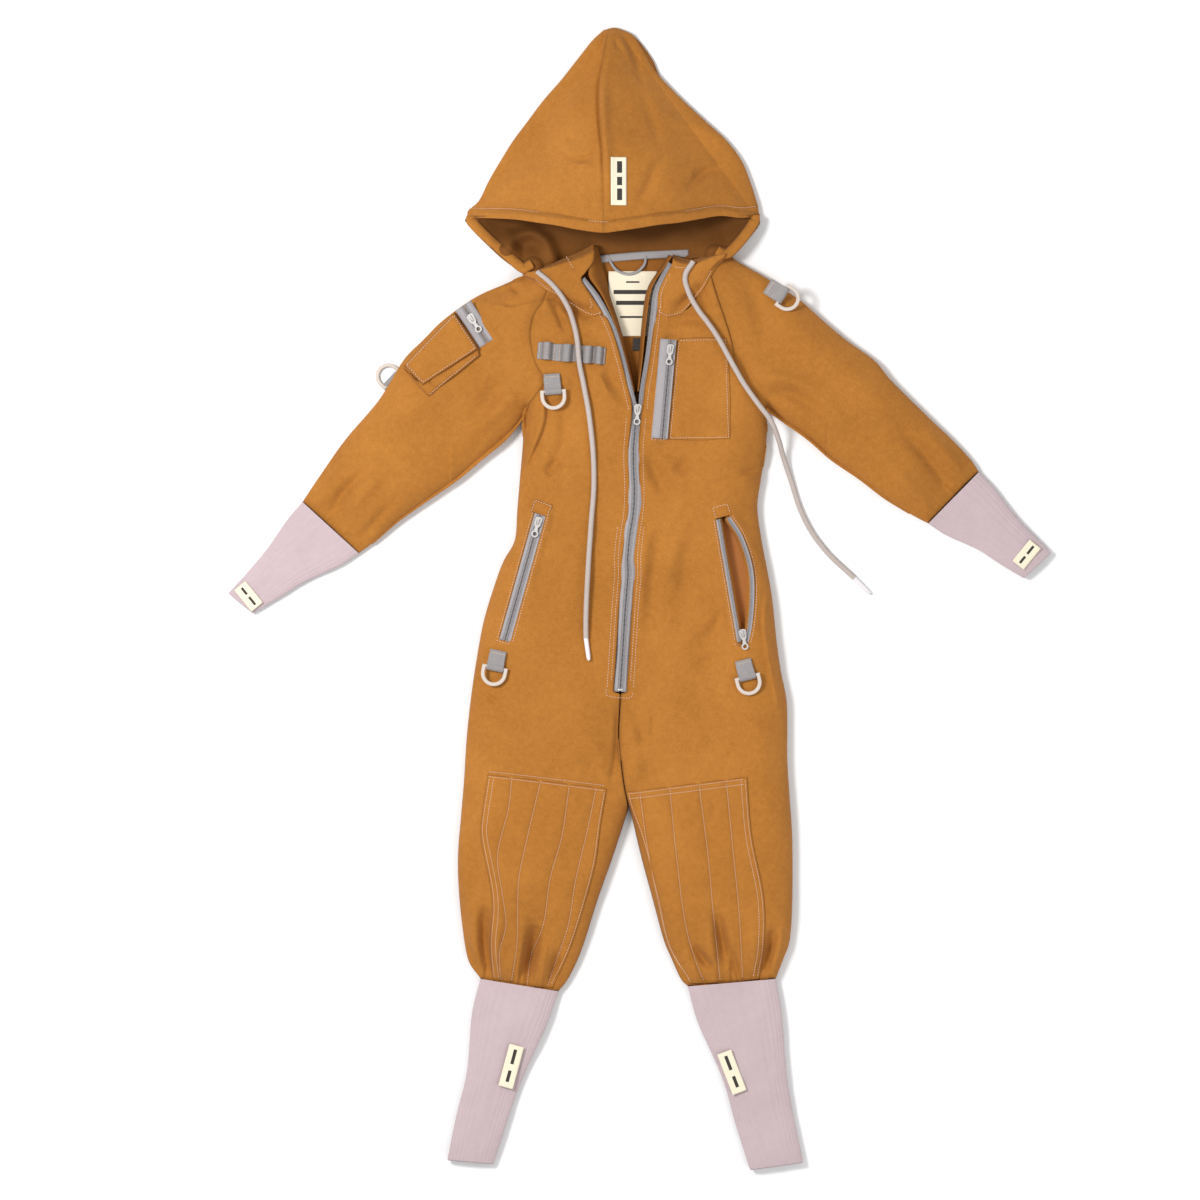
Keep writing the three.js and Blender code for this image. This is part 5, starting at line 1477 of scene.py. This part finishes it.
tab("chest_web", -76.6, 424, math.radians(4), 33.9, "trunk")
tab("hip_right_web", -146, 93, math.radians(-12), 33.9, "trunk")
tab("hip_left_web", 156, 82, math.radians(14), 33.9, "trunk")
for side, u, v, turn in (("left", -42, 50, 98), ("right", None, None, 0)):
    way = ARM_R_WAY if side == "right" else ARM_L_WAY
    low, high = (np.array(q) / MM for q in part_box(f"arm_{side}_ring_tab"))
    if u is None:
        middle = (low + high) / 2
        back = 8.6 * np.array([way[1], -way[0]])
        x, y = middle[0] + PATTERN_X + back[0], middle[1] + PATTERN_Y + back[1]
    else:
        x, y, _ = arm_point(side, u, v, 0)
    tab(f"arm_{side}_web", x, y, math.atan2(way[1], way[0]) + math.radians(turn), max(low[2] - 0.4, 0.7),
        f"{side}_sleeve")


def loops():
    """One strip of webbing stitched down between four tool loops."""
    turn = math.radians(-4.5)
    c, s = math.cos(turn), math.sin(turn)
    bumps = ((-29.4, 5.2, 9.6), (-5.4, 5.6, 9.8), (19.6, 5.2, 9.6), (33.2, 4.4, 8.4))

    def shape(u, v):
        a = (v - 0.5) * 81.5
        b = (u - 0.5) * (20 + 0.4 * noise(a, a * 0, 5, 84))
        z = np.full(a.shape, 0.7)
        for x0, half, high in bumps:
            z = z + high * 0.86 * np.exp(-(np.abs((a - x0) / half) ** 3.2) * 1.1)
        b = b + 0.7 * noise(a, a * 0, 9, 85)
        b = b * (1 + 0.06 * np.clip(z / 9, 0, 1))
        z = np.minimum(z, 9.2) + 0.3 * noise(a, b, 4, 86)
        return -54.6 + a * c - b * s, 469.5 + a * s + b * c, 34.4 + z

    # Painted shade: darkens the webbing at the foot of each loop.
    def crease_shade(u, v, x, y):
        a = (v - 0.5) * 81.5
        return sum(np.exp(-(((np.abs(a - x0) - half - 0.6) / 1.3) ** 2)) for x0, half, _ in bumps)

    mesh = cloth_grid("tool_loop_strip", 18, 150, shape, (0.02, 0.11), crease_shade)
    thicken(new_piece("tool_loop_strip", mesh, WEBBING, "trunk", ["tool_loops"]), 1.1)
    places = []
    for a in (-38.4, -20.5, -14.0, 3.2, 11.2, 26.6, 39.4):
        row = Line([(-54.6 + a * c - b * s, 469.5 + a * s + b * c) for b in (-9.4, 9.4)], False)
        places += along_line(row, 2.3, 36.0)
    repeat("tool_loop_thread", grain(1.9, 0.8, 0.6), places, THREAD, "trunk")


loops()


# ---------- stitching ----------
STITCH = 3.4


def stitches(name, rows, body, bend=None, pitch=STITCH):
    """Rows of thread; each row is a line and the height it lies at."""
    places = []
    for line, level in rows:
        lifted = (lambda x, y, f=level: f(x, y) + 0.32) if callable(level) else level + 0.3
        places += along_line(line, pitch, lifted)
    return repeat(name, grain(pitch * 0.74, 0.78, 0.66), places, THREAD, body, bend)


def cloth_top(x, y):
    return lie(x, y) + 0.9


def chain_row(s, d, y0, y1):
    return Line([(chain_x(y) + s * d, y) for y in np.linspace(y0, y1, 30)], False)


trunk_rows = [
    (chain_row(-1, 11.5, 392, 74), cloth_top), (chain_row(1, 11.5, 392, 74), cloth_top),
    (chain_row(-1, 16, 262, 68), cloth_top), (chain_row(1, 15.5, 262, 68), cloth_top),
    (Line([(-13, 68), (-12, 60), (2, 57), (16, 57), (20, 64)]), cloth_top),
    (ZIP_LINES["right"].beside(-11, 80), cloth_top), (ZIP_LINES["left"].beside(11, 80), cloth_top),
    (Line([(75, 485), (130, 486), (133.5, 369), (64, 368), (74.5, 484)], False), chest_height),
    (Line([(52, 485), (41, 366), (60, 366)], False), cloth_top),
    (Line(HIP_R, False).beside(9.4), cloth_top), (Line(HIP_R, False).beside(-9.4), cloth_top),
    (Line([(-103, 280), (-97.5, 293.5), (-78.5, 286.5), (-84, 274.5)], False), welt_r),
    (Line([(-145, 126), (-126, 120)], False), cloth_top),
    (HIP_L_STRAIGHT.beside(-8.0), cloth_top), (HIP_L_BOW.beside(8.2), cloth_top),
    (Line([(118.5, 272), (115, 284.5), (132, 289), (136.5, 276.5)], False), welt_l),
    (Line([(140, 121), (162, 118)], False), cloth_top),
]
stitches("thread_trunk", trunk_rows, "trunk")
COLLAR_Z = 35.5
stitches("thread_collar", [
    (Line([(-106, 565), (-84, 548), (-62, 534), (-41, 521), (-29, 516), (-18, 519)]), COLLAR_Z - 0.6),
    (Line([(-61, 586), (-46, 560), (-30, 528), (-34, 522)]), COLLAR_Z),
    (Line([(-85, 572), (-70, 563), (-52, 562)]), COLLAR_Z),
    (Line([(49, 521), (60, 515), (76, 519), (88, 531), (103, 550), (114, 571)]), COLLAR_Z - 0.6),
    (Line([(69, 573), (80, 572), (90, 574)]), COLLAR_Z),
    (Line([(52, 523), (54, 544), (64, 566)]), COLLAR_Z),
], "trunk")
for side, s, height, quilt in (("right", -1, knee_r, QUILT_R), ("left", 1, knee_l, QUILT_L)):
    if side == "right":
        top = [(-154, -37.5), (-84, -45.5), (-14, -54.5)]
        outer = [(-153, -40), (-161, -96), (-160, -115), (-147.5, -184), (-150.5, -239), (-147, -282)]
        inner = [(-15, -56), (-22, -96), (-30, -150), (-56, -238), (-80, -290)]
    else:
        top = [(13, -58.5), (84, -49.5), (154, -40.5)]
        outer = [(153.5, -42), (159.5, -110), (173.5, -181), (174.5, -239), (168.5, -280)]
        inner = [(14.5, -60), (19, -77), (33, -116), (50, -185), (63, -240), (89, -285)]
    rows = [(Line(top), height), (Line(top).beside(6.0 if side == "right" else -6.0, 40), height),
            (Line(outer), height), (Line(outer).beside(-5.0 * s, 60), height), (Line(inner), height)]
    rows += [(q, height) for q in quilt]
    stitches(f"thread_leg_{side}", rows, None, LEG_RIDE[side])
pocket_top = [arm_point("right", *q, 0)[:2] for q in
              ((-17.5, 65.5), (-6.5, 20), (66, 38), (64.5, 66), (-17.5, 65.5))]
stitches("thread_sleeve_pocket", [
    (Line(pocket_top, False), lambda x, y: 42.6 + 0.9 * noise(x, y, 20, 71)),
    (Line([(-224, 420), (-213, 430), (-190, 449), (-168, 467)]), gusset_height)], "right_sleeve")
stitches("thread_hood", [(BRIM_LINE.beside(11.3, 90), hood_lie)], "hood")


for node in [o for o in bpy.data.objects if "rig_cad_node" in o and o.type == "MESH"]:
    kind = node.name.split(".")[0]
    made_of = METAL if kind.endswith(("_slider", "_pull")) else RING if kind.endswith("_ring") else None
    if made_of:
        node.data.materials.clear()
        node.data.materials.append(made_of)


# ---------- floor and light ----------
def studio():
    bm = bmesh.new()
    bmesh.ops.create_grid(bm, x_segments=1, y_segments=1, size=6)
    mesh = bpy.data.meshes.new("floor")
    bm.to_mesh(mesh)
    bm.free()
    m = bpy.data.materials.new("floor")
    m.use_nodes = True
    m.node_tree.nodes["Principled BSDF"].inputs["Base Color"].default_value = (0.86, 0.86, 0.86, 1)
    m.node_tree.nodes["Principled BSDF"].inputs["Roughness"].default_value = 0.95
    mesh.materials.append(m)
    floor = bpy.data.objects.new("floor", mesh)
    bpy.context.scene.collection.objects.link(floor)
    world = bpy.data.worlds.new("studio")
    bpy.context.scene.world = world
    world.use_nodes = True
    world.node_tree.nodes["Background"].inputs["Color"].default_value = (1, 1, 1, 1)
    world.node_tree.nodes["Background"].inputs["Strength"].default_value = 0.62
    for name, place, size, power in (("key", (-1.3, 0.6, 2.2), 0.6, 52),
                                     ("fill", (1.6, -1.4, 2.4), 2.4, 26)):
        data = bpy.data.lights.new(name, "AREA")
        data.size = size
        data.energy = power
        lamp = bpy.data.objects.new(name, data)
        lamp.location = place
        lamp.rotation_mode = "QUATERNION"
        lamp.rotation_quaternion = (-Vector(place)).to_track_quat("-Z", "Y")
        bpy.context.scene.collection.objects.link(lamp)
    bpy.context.scene.view_settings.view_transform = "Standard"


studio()
